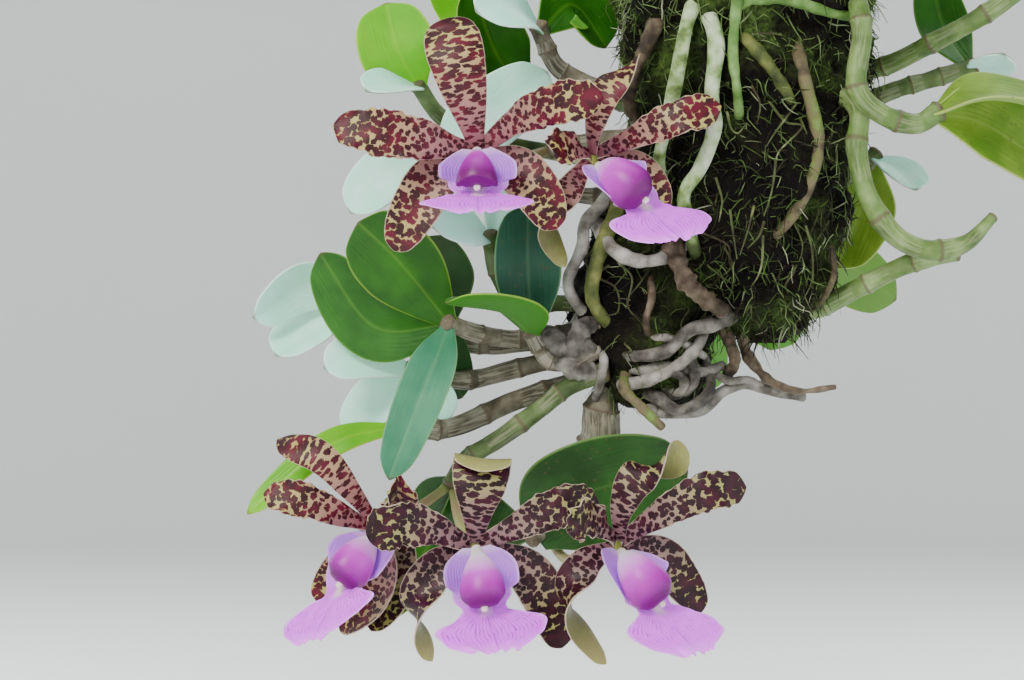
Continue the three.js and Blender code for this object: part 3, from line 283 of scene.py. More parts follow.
# %% Mesh pieces
def make_piece(name, shapes, finishes, nodes):
    start = 0
    corners, starts, looks = [], [], []
    for part in shapes:
        for faces in part["faces"]:
            faces = np.asarray(faces)
            corners.append(faces.ravel() + start)
            starts.append(np.full(len(faces), faces.shape[1]))
            looks.append(np.full(len(faces), part.get("look", 0)))
        start += len(part["points"])
    corners, sizes, looks = (np.concatenate(x) for x in (corners, starts, looks))
    mesh = bpy.data.meshes.new(name)
    mesh.vertices.add(start)
    points = np.concatenate([part["points"] for part in shapes]) * METRES
    mesh.vertices.foreach_set("co", points.ravel())
    mesh.loops.add(len(corners))
    mesh.loops.foreach_set("vertex_index", corners)
    mesh.polygons.add(len(sizes))
    mesh.polygons.foreach_set("loop_start", np.concatenate([[0], np.cumsum(sizes)[:-1]]))
    for made in finishes:
        mesh.materials.append(made)
    mesh.polygons.foreach_set("material_index", looks)
    mesh.update(calc_edges=True)
    for key in ("share", "size", "spots"):
        if key in shapes[0]:
            values = np.concatenate([part[key] for part in shapes]).astype(np.float32)
            layer = mesh.attributes.new(key, "FLOAT_VECTOR", "POINT")
            layer.data.foreach_set("vector", values.ravel())
    mesh.shade_smooth()
    piece = bpy.data.objects.new(name, mesh)
    bpy.context.scene.collection.objects.link(piece)
    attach(piece, "root")
    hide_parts(*nodes)
    triangle_count[name] = int(np.sum(sizes - 2))


triangle_count = {}
END_ARCS = np.radians([84, 55, 28])


def around(rows, sides):
    """The first corner of each face of a tube, and the next corner round."""
    start, at = np.arange(rows - 1)[:, None] * sides, np.arange(sides)
    return (start + at).ravel(), (start + (at + 1) % sides).ravel()


def stem(line, radius, sides, flat=1.0, rounded=0.6, look=0, seed=0.0, relief=None, ring=None):
    along, out, side = frames_along(line)
    shares = np.linspace(0, 1, len(line))
    r = radius(shares)
    first, final = along[0] * r[0] * rounded, along[-1] * r[-1] * rounded
    low = [line[0] - first * np.sin(a) for a in END_ARCS]
    high = [line[-1] + final * np.sin(a) for a in END_ARCS[::-1]]
    centres = np.vstack([low, line, high])
    radii = np.concatenate([r[0] * np.cos(END_ARCS), r, r[-1] * np.cos(END_ARCS[::-1])])[:, None]
    more = len(END_ARCS)
    out, side = (np.pad(x, ((more, more), (0, 0)), "edge") for x in (out, side))
    shares = np.pad(shares, more, "edge")[:, None]
    turn = (2 * np.pi * np.arange(sides) / sides)[None, :]
    if relief is not None:
        radii = radii * relief(shares, turn)
    radii = radii + 0 * turn
    across, over = radii * np.cos(turn) * flat, radii * np.sin(turn)
    points = centres[:, None] + out[:, None] * across[..., None] + side[:, None] * over[..., None]
    steps = np.linalg.norm(np.diff(centres, axis=0), axis=1)
    length = np.concatenate([[0], np.cumsum(steps)])[:, None] + 0 * turn
    share = shares + 0 * turn
    mark = ring(share) if ring is not None else 0 * share
    rows = len(centres)
    a, b = around(rows, sides)
    last = (rows - 1) * sides
    return {
        "points": points.reshape(-1, 3),
        "faces": [
            np.stack([a, b, b + sides, a + sides], 1)[:, ::-1],
            np.arange(sides)[None, :],
            (last + np.arange(sides))[None, ::-1],
        ],
        "share": np.stack([share, mark, share * 0 + seed], -1).reshape(-1, 3),
        "size": np.stack([radii * np.cos(turn), radii * np.sin(turn), length], -1).reshape(-1, 3),
        "look": look,
    }


# %% [markdown]
# A leaf or petal is a thin closed sheet: two faces a little apart, that meet in a thin rounded margin.
# A single sheet with a thickness modifier would do, but here the margin can be made thinner than the
# middle, as it is on a fleshy leaf, and the two faces can be told apart by their colour.


# %% Blades
# What a blade's settings are where its own row doesn't give them.
BLADE = {
    "facing": TO_VIEWER, "roll": 0, "twist": 0, "crowd": 1.5, "foot": 1.2, "tip": 0.9,
    "cup": 0, "fold": 0, "wave": 0, "waves": 3,
}
TIP_LEFT = 0.0009
EDGE_WAVES = {
    "ragged": ((3.3, 6.1, 9.7, 15.1), (2.9, 5.7, 10.3, 14.2)),
    "frill": ((5.3, 8.1, 12.7), (4.7, 7.3, 11.9)),
}


def outline(u, base, peak, end, foot):
    rise = base + (1 - base) * np.sin(np.pi / 2 * np.minimum(u / peak, 1)) ** foot
    past = np.clip((u - peak) / (1 - peak), 0, 1)
    fall = end + (1 - end) * np.sqrt(1 - past**2.4)
    return np.where(u < peak, rise, fall)


def rounded_tip(u, start):
    return np.sqrt(np.clip(1 - np.clip((u - start) / (1 - start), 0, 1) ** 2, TIP_LEFT, 1))


def curled(line, shares, start, end, degrees, facing, roll):
    """The line folded towards the side that it faces, between two shares of its length."""
    _, _, side = frames_along(line, facing, roll)
    steps = np.diff(line, axis=0)
    turns = np.radians(degrees) * np.clip((shares[1:] - start) / (end - start), 0, 1)
    k = unit(side[:-1])
    c, s = np.cos(turns)[:, None], np.sin(turns)[:, None]
    spun = steps * c + np.cross(k, steps) * s + k * np.sum(k * steps, 1)[:, None] * (1 - c)
    return np.vstack([line[:1], line[0] + np.cumsum(spun, axis=0)])


def uneven(kind, u, v, rng):
    """Waves along a blade's two edges, which differ from one another."""
    left, right = (waves(2 * np.pi * u, counts, rng) for counts in EDGE_WAVES[kind])
    return np.where(v > 0, right, left)


def half_width(u, v, width, spec, rng):
    if "width_at" in spec:
        wide = spec["width_at"](u)
    else:
        wide = outline(u, spec["base"], spec["peak"], spec["end"], spec["foot"])
        wide = wide * rounded_tip(u, spec["tip"])
    half = width / 2 * wide + 0 * v
    if "ragged" in spec:
        half = half * (1 + spec["ragged"] * smooth(u, 0.2, 0.6) * uneven("ragged", u, v, rng))
    return half


def lifted(u, v, half, spec, rng):
    """How far each point stands out of the blade's flat face: cupped, folded, wavy or frilled."""
    cup = spec["cup_at"](u) if "cup_at" in spec else spec["cup"]
    lift = cup * half * v**2 + spec["fold"] * half * np.abs(v)
    phase = 2 * np.pi * spec["waves"] * u + np.where(v > 0, 2, 0)
    lift = lift + spec["wave"] * v**2 * np.sin(phase)
    if "frill" in spec:
        reach = np.abs(v) ** 4 * smooth(u, 0.12, 0.5)
        lift = lift + spec["frill"] * reach * uneven("frill", u, v, rng)
    return lift


def two_faced(middle, u, v, thickness):
    """The points of a sheet's front and back, and the faces that close it round its margin."""
    normal = unit(np.cross(np.gradient(middle, axis=1), np.gradient(middle, axis=0)))
    thin = 0.3 + 0.7 * np.sqrt(1 - np.abs(v) ** 3)
    thin = thin * (0.4 + 0.6 * np.sqrt(1 - u**8)) * thickness / 2
    points = np.stack([middle + normal * thin[..., None], middle - normal * thin[..., None]])
    rows, columns = middle.shape[:2]
    index = np.arange(rows * columns).reshape(rows, columns)
    a, b, c, d = index[:-1, :-1], index[:-1, 1:], index[1:, 1:], index[1:, :-1]
    front = np.stack([a, b, c, d], -1).reshape(-1, 4)
    rim = np.concatenate([index[0, :-1], index[:-1, -1], index[-1, :0:-1], index[:0:-1, 0]])
    ahead, back = np.roll(rim, -1), rows * columns
    margin = np.stack([ahead, rim, rim + back, ahead + back], 1)
    return points.reshape(-1, 3), [front, front[:, ::-1] + back, margin]


def blade(line, width, thickness, spec, grid, look=0, seed=0.0, spots=None, edge=None):
    spec = {**BLADE, **spec}
    shares = 1 - (1 - np.linspace(0, 1, grid[0] + 1)) ** spec["crowd"]
    points = along_line(line, shares)
    if "curl" in spec:
        points = curled(points, shares, *spec["curl"], spec["facing"], spec["roll"])
    along, out, side = frames_along(points, spec["facing"])
    turned = smooth(shares, *spec["twist_over"]) if "twist_over" in spec else shares
    turn = np.radians(spec["roll"] + spec["twist"] * turned)[:, None]
    out = out * np.cos(turn) + side * np.sin(turn)
    side = np.cross(along, out)
    u = shares[:, None]
    v = np.sin(np.pi / 2 * np.linspace(-1, 1, grid[1] + 1))[None, :]
    rng = np.random.default_rng(int(seed * 1000) + 5)
    half = half_width(u, v, width, spec, rng)
    lift = lifted(u, v, half, spec, rng)
    middle = points[:, None] + side[:, None] * (half * v)[..., None]
    middle = middle + out[:, None] * lift[..., None]
    bow = spec["bow_at"](u) if "bow_at" in spec else 0.0
    middle = middle - along[:, None] * (bow * half * v**2)[..., None]
    if edge is not None:
        middle = edge(middle, u, v, along, out, side)
    corners, faces = two_faced(middle, u, v, thickness)
    run = np.concatenate([[0], np.cumsum(np.linalg.norm(np.diff(points, axis=0), axis=1))])
    ones = np.ones(half.shape)
    share = np.stack([u * ones, v * ones, seed * ones], -1).reshape(-1, 3)
    sizes = [np.stack([run[:, None] * ones, half * v, f * ones], -1).reshape(-1, 3) for f in (1, -1)]
    made = {
        "points": corners,
        "faces": faces,
        "share": np.vstack([share, share]),
        "size": np.vstack(sizes),
        "look": look,
    }
    if spots is not None:
        x, y = run[:, None] * ones / spots[0] + 17 * seed, half * v / spots[1] + 31 * seed
        marks = np.stack([x, y, spots[2] * ones], -1).reshape(-1, 3)
        made["spots"] = np.vstack([marks, marks])
    return made


print("a blade has these settings:", ", ".join(BLADE))

# %% [markdown]
# ## The plant in places
# Each place is the column and row where it is seen, and its depth in millimetres. Nearly the same places
# shape the frame. They could be read from the frame, but written out they can be checked by eye.

# %% Places
# A ring of moss is its row, column, half width, half depth, depth and how square it is.
MOSS_RINGS = [
    (-186, 745, 40, 40, 0, 0.9),
    (-172, 745, 44, 44, 0, 1),
    (-20, 745, 44, 44, 0, 0.6),
    (30, 744, 43, 42, 0, 0),
    (90, 745, 41, 41, 0, 0),
    (150, 748, 38, 39, 0, 0),
    (210, 746, 34, 35, 0, 0),
    (260, 750, 28.5, 29, 0, 0),
    (300, 758, 21, 21, 0, 0),
    (328, 764, 13, 13, 0, 0),
    (343, 766, 5.5, 5.5, 0, 0),
]
ROOT_BALL_RINGS = [
    (190, 660, 11, 11, 2, 0),
    (222, 650, 19, 18, 3, 0),
    (265, 644, 23, 21, 4, 0),
    (310, 642, 24, 22, 4, 0),
    (352, 646, 23, 21, 4, 0),
    (385, 654, 19, 16, 4, 0),
    (408, 662, 10, 9, 4, 0),
]
# A root is its name, its look, its radius in millimetres and the places of its line.
ROOTS = [
    ("pale left", "pale", 2.5, [(704, -20, -38), (688, 20, -43), (676, 80, -42), (665, 130, -37),
        (659, 165, -31), (668, 205, -27), (690, 245, -24)]),
    ("pale middle", "pale", 2.7, [(702, 0, -38), (716, 40, -43), (712, 90, -44), (714, 130, -43),
        (700, 168, -40), (684, 195, -36), (690, 232, -31), (700, 268, -22)]),
    ("pale thin", "green", 1.9, [(740, -25, -44), (735, 20, -45), (733, 55, -44), (737, 90, -43),
        (740, 122, -38)]),
    ("green crossing", "green", 2.1, [(735, 6, -42), (770, -2, -44), (800, 3, -43), (832, 13, -39),
        (862, 18, -33)]),
    ("old stub", "mossy", 2.3, [(742, 34, -43), (765, 60, -44), (784, 88, -41), (792, 104, -36)]),
    ("brown right", "brown", 2.3, [(797, 46, -37), (805, 80, -40), (815, 120, -38), (818, 150, -34),
        (808, 188, -33), (788, 222, -30), (764, 246, -27)]),
    ("white arc", "white", 2.6, [(598, 228, -14), (614, 250, -20), (640, 261, -23), (668, 256, -24),
        (694, 238, -22)]),
    ("white left", "white", 2.3, [(612, 196, -8), (586, 222, -14), (582, 248, -15), (568, 285, -12),
        (590, 318, -8), (625, 330, 0)]),
    ("mossy left", "mossy", 2.7, [(622, 200, -12), (605, 238, -17), (594, 273, -18), (592, 296, -17),
        (600, 314, -14), (624, 340, -6)]),
    ("grey upper", "grey", 2.5, [(742, 312, -12), (716, 324, -18), (690, 330, -20), (668, 350, -20),
        (640, 356, -18), (612, 352, -10)]),
    ("grey middle", "grey", 2.3, [(615, 386, -8), (648, 380, -16), (680, 364, -18), (700, 342, -16),
        (706, 322, -10)]),
    ("grey coil", "grey", 2.2, [(638, 390, -4), (658, 398, -13), (678, 410, -15), (701, 401, -15),
        (711, 384, -13), (704, 360, -4)]),
    ("grey sweep", "grey", 2.3, [(628, 386, 2), (640, 402, -5), (664, 412, -9), (700, 410, -8),
        (722, 392, -6), (745, 384, -4), (775, 391, -4), (803, 397, -2)]),
    ("dry stalk", "dry", 2.4, [(744, 310, 0), (744, 345, -4), (755, 366, -8), (772, 382, -10),
        (800, 391, -10), (835, 387, -8)]),
    ("grey old cane", "dry", 2.6, [(666, -10, -26), (655, 25, -31), (640, 60, -31), (628, 95, -26),
        (640, 132, -18)]),
    ("broken stick", "dry", 3.4, [(673, 246, -23), (684, 277, -28), (700, 295, -28), (723, 311, -24)]),
    ("green sprout", "brown", 2, [(628, 370, -8), (624, 388, -16), (640, 406, -20), (662, 427, -22)]),
    ("hanging right", "brown", 1.2, [(818, 225, -14), (830, 248, -15), (834, 275, -14), (818, 305, -8),
        (800, 312, 0)]),
    ("lower left knot", "grey", 5.2, [(630, 300, 2), (592, 316, -2), (574, 344, -3), (592, 370, -2),
        (634, 368, 0)]),
]
# A cane is its look, radius and line, and its leaves. A leaf is its look, width, roll in degrees and the
# places that it passes on its way out from the cane's tip, then any other setting of its shape.
CANES = {
    "leafy_cane_far_top_left": {
        "look": "green", "r": 3, "path": [(668, 152, 10), (600, 158, 22), (540, 150, 26), (480, 138, 20),
            (440, 116, 10), (417, 84, 4)],
        "leaves": [
            ("lime", 27, -6, [(398, 50, -3), (386, 3, -4)]),
            ("mint", 18, 62, [(396, 86, -8), (366, 91, -20)]),
        ],
    },
    "leafy_cane_top_left": {
        "look": "green", "r": 3.2, "path": [(656, 112, 10), (610, 100, 28), (562, 94, 33), (522, 90, 29)],
        "leaves": [
            ("bright", 26, 12, [(496, 55, 21), (470, -16, 12)]),
            ("lime", 22, -10, [(478, 20, 40), (436, -32, 36)]),
        ],
    },
    "leafy_cane_top": {
        "look": "old", "r": 3.2, "path": [(656, 94, 0), (610, 92, -2), (575, 78, -4), (556, 66, -5),
            (545, 45, -7), (538, 26, -10)],
        "leaves": [
            ("mint", 24, 64, [(512, 8, -26), (476, 12, -42)]),
            ("mid", 24, 0, [(572, 6, 4), (606, 48, 4)]),
        ],
    },
    "flowering_cane_top": {
        "look": "old", "r": 3, "path": [(664, 138, -8), (620, 138, -8), (585, 142, -4), (551, 150, 0)],
    },
    "leafy_cane_behind_flower": {
        "look": "old", "r": 3, "path": [(674, 186, 8), (610, 196, 16), (560, 192, 20), (500, 178, 16),
            (455, 164, 10), (433, 157, 8)],
        "leaves": [
            ("mint", 22, 38, [(395, 172, -2), (350, 213, -8)]),
            ("mint", 25, -8, [(482, 124, -2), (548, 72, 6)]),
        ],
    },
    "leafy_cane_under_flower": {
        "look": "green", "r": 3, "path": [(606, 304, -4), (552, 303, 0), (516, 300, -4), (497, 272, -8),
            (489, 234, -10)],
        "leaves": [
            ("mint", 20, 48, [(460, 228, -18), (430, 224, -26)]),
            ("mint", 18, 20, [(502, 208, -2), (522, 184, 4)]),
        ],
    },
    "leafy_cane_centre_left": {
        "look": "old", "r": 3.2, "path": [(602, 324, -8), (560, 334, -2), (520, 339, 4), (480, 334, -4),
            (446, 322, -15)],
        "leaves": [
            ("bright", 29, -12, [(400, 262, -25), (358, 222, -28)]),
            ("mid", 23, -18, [(375, 326, -13), (320, 253, -16)]),
            ("glaucous", 17, 10, [(428, 380, -28), (389, 480, -34)]),
            ("dark", 24, 10, [(440, 282, 0), (420, 238, 8)]),
        ],
    },
    "leafy_cane_far_left": {
        "look": "old", "r": 3, "path": [(600, 322, 9), (530, 342, 13), (480, 346, 15), (420, 334, 14),
            (352, 301, 8)],
        "leaves": [
            ("mint", 19, -12, [(302, 285, 0), (253, 318, -10)]),
            ("mint", 20, 40, [(312, 330, 4), (276, 356, -4)]),
        ],
    },
    "leafy_cane_middle_left": {
        "look": "old", "r": 3.4, "path": [(596, 350, 10), (520, 368, 12), (470, 380, 10), (432, 377, 6),
            (408, 371, 3)],
        "leaves": [
            ("mint", 18, 40, [(364, 360, -6), (324, 368, -14)]),
            ("mint", 20, 30, [(382, 398, 8), (346, 436, 12)]),
            ("dark", 18, 20, [(436, 346, 4), (462, 398, 16)]),
        ],
    },
    "leafy_cane_centre": {
        "look": "old", "r": 3, "path": [(600, 348, -8), (574, 362, -8), (552, 362, -7), (539, 348, -8),
            (530, 331, -10)],
        "leaves": [
            ("underside", 28, 0, [(505, 312, -26), (446, 303, -34)], {"facing": (0, -0.3, 1)}),
            ("blue", 23, 0, [(528, 270, -17), (528, 205, -14)]),
        ],
    },
    "leafy_cane_low_left": {
        "look": "old", "r": 3.6, "path": [(598, 374, 11), (556, 388, 10), (512, 402, 8), (460, 425, 4),
            (430, 430, 0), (402, 425, -3)],
        "leaves": [
            ("lime", 11, 30, [(330, 446, -12), (247, 514, -18)]),
            ("mint", 17, 26, [(424, 410, 4), (452, 386, 4)]),
        ],
    },
    "flowering_cane_low": {
        "look": "green", "r": 3.3, "path": [(604, 372, -8), (566, 388, -8), (541, 408, -8), (500, 438, -8),
            (466, 460, -8), (452, 484, -8)],
        "leaves": [
            ("dark", 15, 30, [(434, 500, 0), (418, 524, 2)]),
            ("bright", 22, 22, [(430, 545, 8), (374, 616, 14)]),
        ],
    },
    "flowering_cane_large_leaf": {
        "look": "old", "r": 3.8, "swell": 1.9, "path": [(614, 384, 2), (602, 408, 2), (600, 442, 6),
            (580, 500, 12), (530, 537, 3)],
        "leaves": [
            ("deep", 40, 8, [(588, 492, -5), (688, 467, -3)], {"peak": 0.42, "base": 0.34}),
            ("dark", 22, 16, [(490, 528, 12), (440, 498, 18)]),
        ],
    },
    "leafy_cane_right": {
        "look": "young", "r": 3.6, "path": [(846, -28, -18), (858, 4, -38), (862, 36, -42), (857, 86, -44),
            (880, 113, -43), (915, 124, -42), (938, 112, -41)],
        "leaves": [
            ("spotted", 32, 0, [(990, 98, -42), (1086, 118, -36)], {"facing": (0.1, -0.35, 1)}),
            ("spotted", 28, -14, [(985, 126, -28), (1070, 182, -14)]),
        ],
    },
    "old_cane_right": {
        "look": "young", "r": 3.6, "dry": True, "path": [(828, 84, -15), (858, 110, -30), (857, 150, -34),
            (868, 196, -35), (895, 235, -35), (930, 250, -34), (966, 243, -32), (993, 217, -30)],
    },
    "leafy_cane_top_right": {
        "look": "young", "r": 3.4, "path": [(836, 74, 10), (884, 66, 4), (930, 44, -5), (985, 14, -9),
            (1042, -26, -10)],
        "leaves": [
            ("mid", 25, 20, [(1084, -40, -20), (1122, -20, -30)]),
            ("mid", 25, -10, [(1052, -76, 4), (1034, -126, 10)]),
        ],
    },
    "leafy_cane_upper_right": {
        "look": "green", "r": 3.2, "path": [(836, 116, 8), (890, 92, 8), (930, 80, 8), (974, 67, 8)],
        "leaves": [
            ("mint", 16, 60, [(990, 62, 0), (1004, 54, -12)]),
            ("mid", 19, 10, [(944, 30, 20), (930, -22, 26)]),
        ],
    },
    "leafy_cane_behind_right": {
        "look": "green", "r": 3, "path": [(826, 184, 10), (846, 178, 22), (862, 168, 28), (876, 154, 29)],
        "leaves": [
            ("mint", 17, 0, [(898, 172, 22), (916, 190, 10)], {"facing": (0.1, -0.5, 1)}),
            ("spotted", 25, 8, [(862, 206, 40), (836, 268, 40)]),
        ],
    },
    "old_cane_low_right": {
        "look": "young", "r": 3.5, "dry": True, "path": [(796, 314, 0), (824, 306, -2), (866, 284, -6),
            (914, 262, -11), (958, 256, -16)],
    },
    "leafy_cane_back_top": {
        "look": "green", "r": 3.3, "path": [(745, 60, 32), (740, 64, 58), (735, 40, 84), (726, -6, 102)],
        "leaves": [
            ("mid", 28, 160, [(700, -40, 118), (640, -50, 122)]),
            ("bright", 28, 200, [(770, -30, 122), (826, -20, 132)]),
        ],
    },
    "leafy_cane_back_right": {
        "look": "green", "r": 3.3, "path": [(744, 140, 30), (770, 150, 56), (790, 190, 78), (802, 246, 93)],
        "leaves": [
            ("bright", 28, 170, [(840, 260, 110), (896, 300, 116)]),
            ("mid", 26, 190, [(780, 290, 108), (770, 350, 106)]),
        ],
    },
    "leafy_cane_back_left": {
        "look": "green", "r": 3.3, "path": [(716, 172, 27), (690, 190, 46), (668, 240, 60), (659, 296, 69)],
        "leaves": [
            ("mid", 26, 170, [(630, 324, 84), (580, 330, 92)]),
            ("mid", 26, 190, [(690, 340, 84), (700, 396, 84)]),
        ],
    },
}
# A petal or sepal is its width, its roll and its line, then its other settings: curl folds the tip over
# by some degrees between two shares of its length, and twist turns it about its own length, between the
# two shares of twist_over. The lower left lip twists below its neck, so that its fan faces the viewer.
FLOWERS = {
    "upper_left": {
        "centre": (477, 152, -40),
        "stalk": [(477, 153, -38), (505, 162, -20), (540, 153, -3), (549, 150, 0)],
        "dorsal": (19.5, 0, [(477, 150, -42), (469, 110, -48), (457, 60, -50), (447, 19, -44)],
            {"end": 0.4, "curl": (0.93, 1, 70)}),
        "petal_left": (16, 8, [(473, 151, -42), (430, 141, -50), (385, 133, -54), (333, 126, -52)],
            {"peak": 0.6, "end": 0.24}),
        "petal_right": (14, -14, [(482, 149, -41), (515, 121, -49), (555, 104, -61), (602, 96, -65)]),
        "sepal_left": (17.5, 10, [(471, 156, -40), (439, 175, -41), (416, 208, -43), (394, 251, -42)]),
        "sepal_right": (17, -10, [(484, 156, -40), (514, 168, -41), (537, 192, -43), (557, 229, -40)]),
        "lip": {"path": [(477, 150, -45), (478, 172, -47), (478, 192, -51), (478, 212, -78)], "lobes": 26,
            "neck": 14, "fan": 37.4},
        "column": {"path": [(477, 166, -54), (477, 189, -56)], "r": 7},
    },
    "upper_right": {
        "centre": (592, 157, -40),
        "stalk": [(592, 158, -38), (583, 161, -22), (571, 154, -9), (566, 148, -4)],
        "dorsal": (12, -32, [(592, 154, -41), (594, 126, -46), (606, 91, -48), (640, 54, -42)],
            {"twist": -70, "twist_over": (0.7, 1)}),
        "petal_left": (13, 40, [(590, 156, -41), (575, 147, -48), (563, 146, -54), (555, 154, -60)]),
        "petal_right": (12, -8, [(597, 153, -40.5), (634, 137, -49), (673, 119, -56), (721, 106, -54)],
            {"peak": 0.78, "end": 0.12}),
        "sepal_left": (11, -20, [(587, 160, -39), (569, 188, -31), (549, 226, -26), (565, 267, -24)],
            {"twist": 150, "twist_over": (0.25, 0.8)}),
        "sepal_right": (14, -14, [(598, 160, -39), (630, 168, -40), (649, 186, -40), (664, 212, -40)]),
        "lip": {"path": [(598, 166, -45), (616, 182, -54), (641, 204, -58), (681, 240, -78)], "lobes": 23,
            "neck": 13, "fan": 36, "facing": (0.05, -0.51, 0.86)},
        "column": {"path": [(613, 173, -61), (642, 197, -65)], "r": 7.6},
    },
    "lower_left": {
        "centre": (380, 530, -26),
        "stalk": [(381, 531, -24), (412, 512, -12), (446, 488, -8)],
        "dorsal": (11.5, 14, [(378, 526, -28), (352, 492, -34), (320, 457, -36), (277, 440, -30)],
            {"end": 0.12, "twist": 25, "twist_over": (0.7, 1)}),
        "petal_left": (12, 12, [(374, 527, -27), (339, 514, -34), (304, 500, -38), (264, 494, -36)]),
        "petal_right": (12, 36, [(384, 526, -27), (391, 508, -34), (397, 494, -42), (396, 480, -50)],
            {"peak": 0.4, "end": 0.25, "ragged": 0.25, "frill": 2.4, "fold": 0.7}),
        "sepal_left": (13, 0, [(374, 534, -25), (352, 556, -18), (334, 578, -14), (317, 602, -12)]),
        "sepal_right": (16, 46, [(384, 535, -26), (386, 568, -26), (374, 602, -26), (340, 632, -24)]),
        "lip": {"path": [(377, 536, -29.3), (362, 558, -40), (344, 586, -46), (312, 641, -70)], "lobes": 23,
            "neck": 12.5, "fan": 36, "facing": (-0.3, -0.95, 0), "twist": 30, "twist_over": (0.5, 0.8)},
        "column": {"path": [(362, 552, -47), (342, 581, -51)], "r": 7.4},
    },
    "lower_middle": {
        "centre": (475, 545, -42),
        "stalk": [(474, 545, -40), (460, 522, -22), (453, 492, -10)],
        "dorsal": (19.5, 0, [(475, 542, -43), (477, 512, -51), (480, 483, -54), (484, 443, -47)],
            {"peak": 0.86, "end": 0.5, "curl": (0.83, 0.9, 165)}),
        "petal_left": (15.5, 6, [(470, 545, -43), (436, 530, -53), (402, 525, -59), (367, 535, -62)]),
        "petal_right": (14, -6, [(480, 544, -43), (520, 525, -49), (560, 507, -51), (599, 504, -46)]),
        "sepal_left": (14, 12, [(469, 549, -41), (437, 568, -44), (417, 607, -46), (432, 661, -40)],
            {"twist": 120, "twist_over": (0.45, 0.95)}),
        "sepal_right": (16, -12, [(482, 549, -41), (524, 569, -41), (547, 604, -41), (562, 648, -38)]),
        "lip": {"path": [(476, 548, -45.7), (480, 574, -49), (484, 606, -53), (500, 652, -76)], "lobes": 25,
            "neck": 14, "fan": 37, "facing": (0.1, -1, 0.25)},
        "column": {"path": [(480, 570, -57), (484, 604, -61)], "r": 7.6},
    },
    "lower_right": {
        "centre": (617, 543, -40),
        "stalk": [(616, 545, -38), (592, 560, -20), (566, 559, 2), (553, 543, 9), (551, 532, 8)],
        "dorsal": (14, -20, [(619, 540, -41), (622, 508, -48), (641, 474, -50), (689, 453, -42)],
            {"twist": -150, "end": 0.5, "twist_over": (0.6, 0.95)}),
        "petal_left": (13, 40, [(615, 541, -41), (600, 524, -51), (586, 517, -62), (571, 529, -72)],
            {"ragged": 0.2, "frill": 2.0}),
        "petal_right": (13, -6, [(622, 540, -41), (658, 516, -50), (702, 493, -54), (746, 487, -50)]),
        "sepal_left": (13, 16, [(612, 547, -40), (582, 568, -46), (570, 609, -48), (606, 664, -42)],
            {"twist": 125, "twist_over": (0.3, 0.85)}),
        "sepal_right": (14.5, -12, [(622, 546, -40), (658, 555, -38), (680, 580, -36), (702, 612, -34)]),
        "lip": {"path": [(621, 552, -44), (632, 574, -54), (652, 604, -58), (699, 654, -76)], "lobes": 24,
            "neck": 13, "fan": 36, "facing": (0.37, -0.9, 0.23)},
        "column": {"path": [(633, 568, -62), (659, 600, -65)], "r": 7.8},
    },
}

print("roots:", len(ROOTS), "canes:", len(CANES), "flowers:", len(FLOWERS))

# %% [markdown]
# ## Moss body
# The plant is rooted in a long body of compacted moss and old tree-fern fibre that grows down out of
# its basket. A sculpted mesh would also do. Here level rings make the same body as the frame's, with
# a finer relief on it, and thousands of short strands stand out of it, as dead moss does.


# %% Moss shapes
RELIEF = 0.035
BODY_GRID = (130, 190)
BALL_GRID = (80, 110)
BUMPS = [(19, 1.9), (8, 1.1), (3.5, 0.45)]
# The moss still grows near its top, and is dead below the second of these rows.
GREEN_ROWS = (0, 150)
# How many strands, the shortest and longest of them, and the thinnest and thickest.
STRANDS = {
    "body": {"count": 6400, "length": (3, 10), "thick": (0.18, 0.46)},
    "ball": {"count": 900, "length": (3, 9), "thick": (0.16, 0.4)},
}
STRAND_STEPS = 4
STRAND_SIDES = 3
STRAND_PULL = (0, 0, -0.35)
STRAND_SAG = 0.22
STRAND_ROOTED = 0.5


def on_lump(rings, row, angle, lift=0.0):
    table = np.array(rings, float)
    column, half, deep, depth, square = (np.interp(row, table[:, 0], table[:, k]) for k in range(1, 6))
    c, s = np.cos(angle), np.sin(angle)
    power = 2 + 10 * square
    corner = (np.abs(c) ** power + np.abs(s) ** power) ** (-1 / power)
    rough = np.sin(3 * angle + row / 31) + 0.8 * np.sin(5 * angle - row / 23)
    reach = corner * (1 + (1 - square) * RELIEF * rough)
    x = CENTRE_X + (column - PICTURE_CENTRE[0]) * MM_PER_PIXEL + (half * reach + lift) * c
    y = depth + (deep * reach + lift) * s
    z = CENTRE_Z + (PICTURE_CENTRE[1] - row) * MM_PER_PIXEL
    return np.stack([x, y, z], -1), square


def bumps(points, size, rng, count=7):
    directions = unit(rng.normal(size=(count, 3))) * 2 * np.pi / size
    phases = rng.uniform(0, 2 * np.pi, count)
    return np.sin(points @ directions.T + phases).sum(-1) / np.sqrt(count)


def relief_at(points, square, seed):
    rng = np.random.default_rng(seed)
    total = sum(height * bumps(points, size, rng) for size, height in BUMPS)
    return total * (0.12 + 0.88 * (1 - square))


def lump(rings, grid, seed):
    rows, sides = grid
    row = np.linspace(rings[0][0], rings[-1][0], rows)[:, None]
    angle = 2 * np.pi * np.arange(sides)[None, :] / sides
    row, angle = row + 0 * angle, angle + 0 * row
    points, square = on_lump(rings, row, angle)
    points, _ = on_lump(rings, row, angle, relief_at(points, square, seed))
    a, b = around(rows, sides)
    last = (rows - 1) * sides + np.arange(sides)
    return {
        "points": points.reshape(-1, 3),
        "faces": [
            np.stack([a, a + sides, b + sides, b], 1),
            np.arange(sides)[None, :],
            last[None, ::-1],
        ],
    }


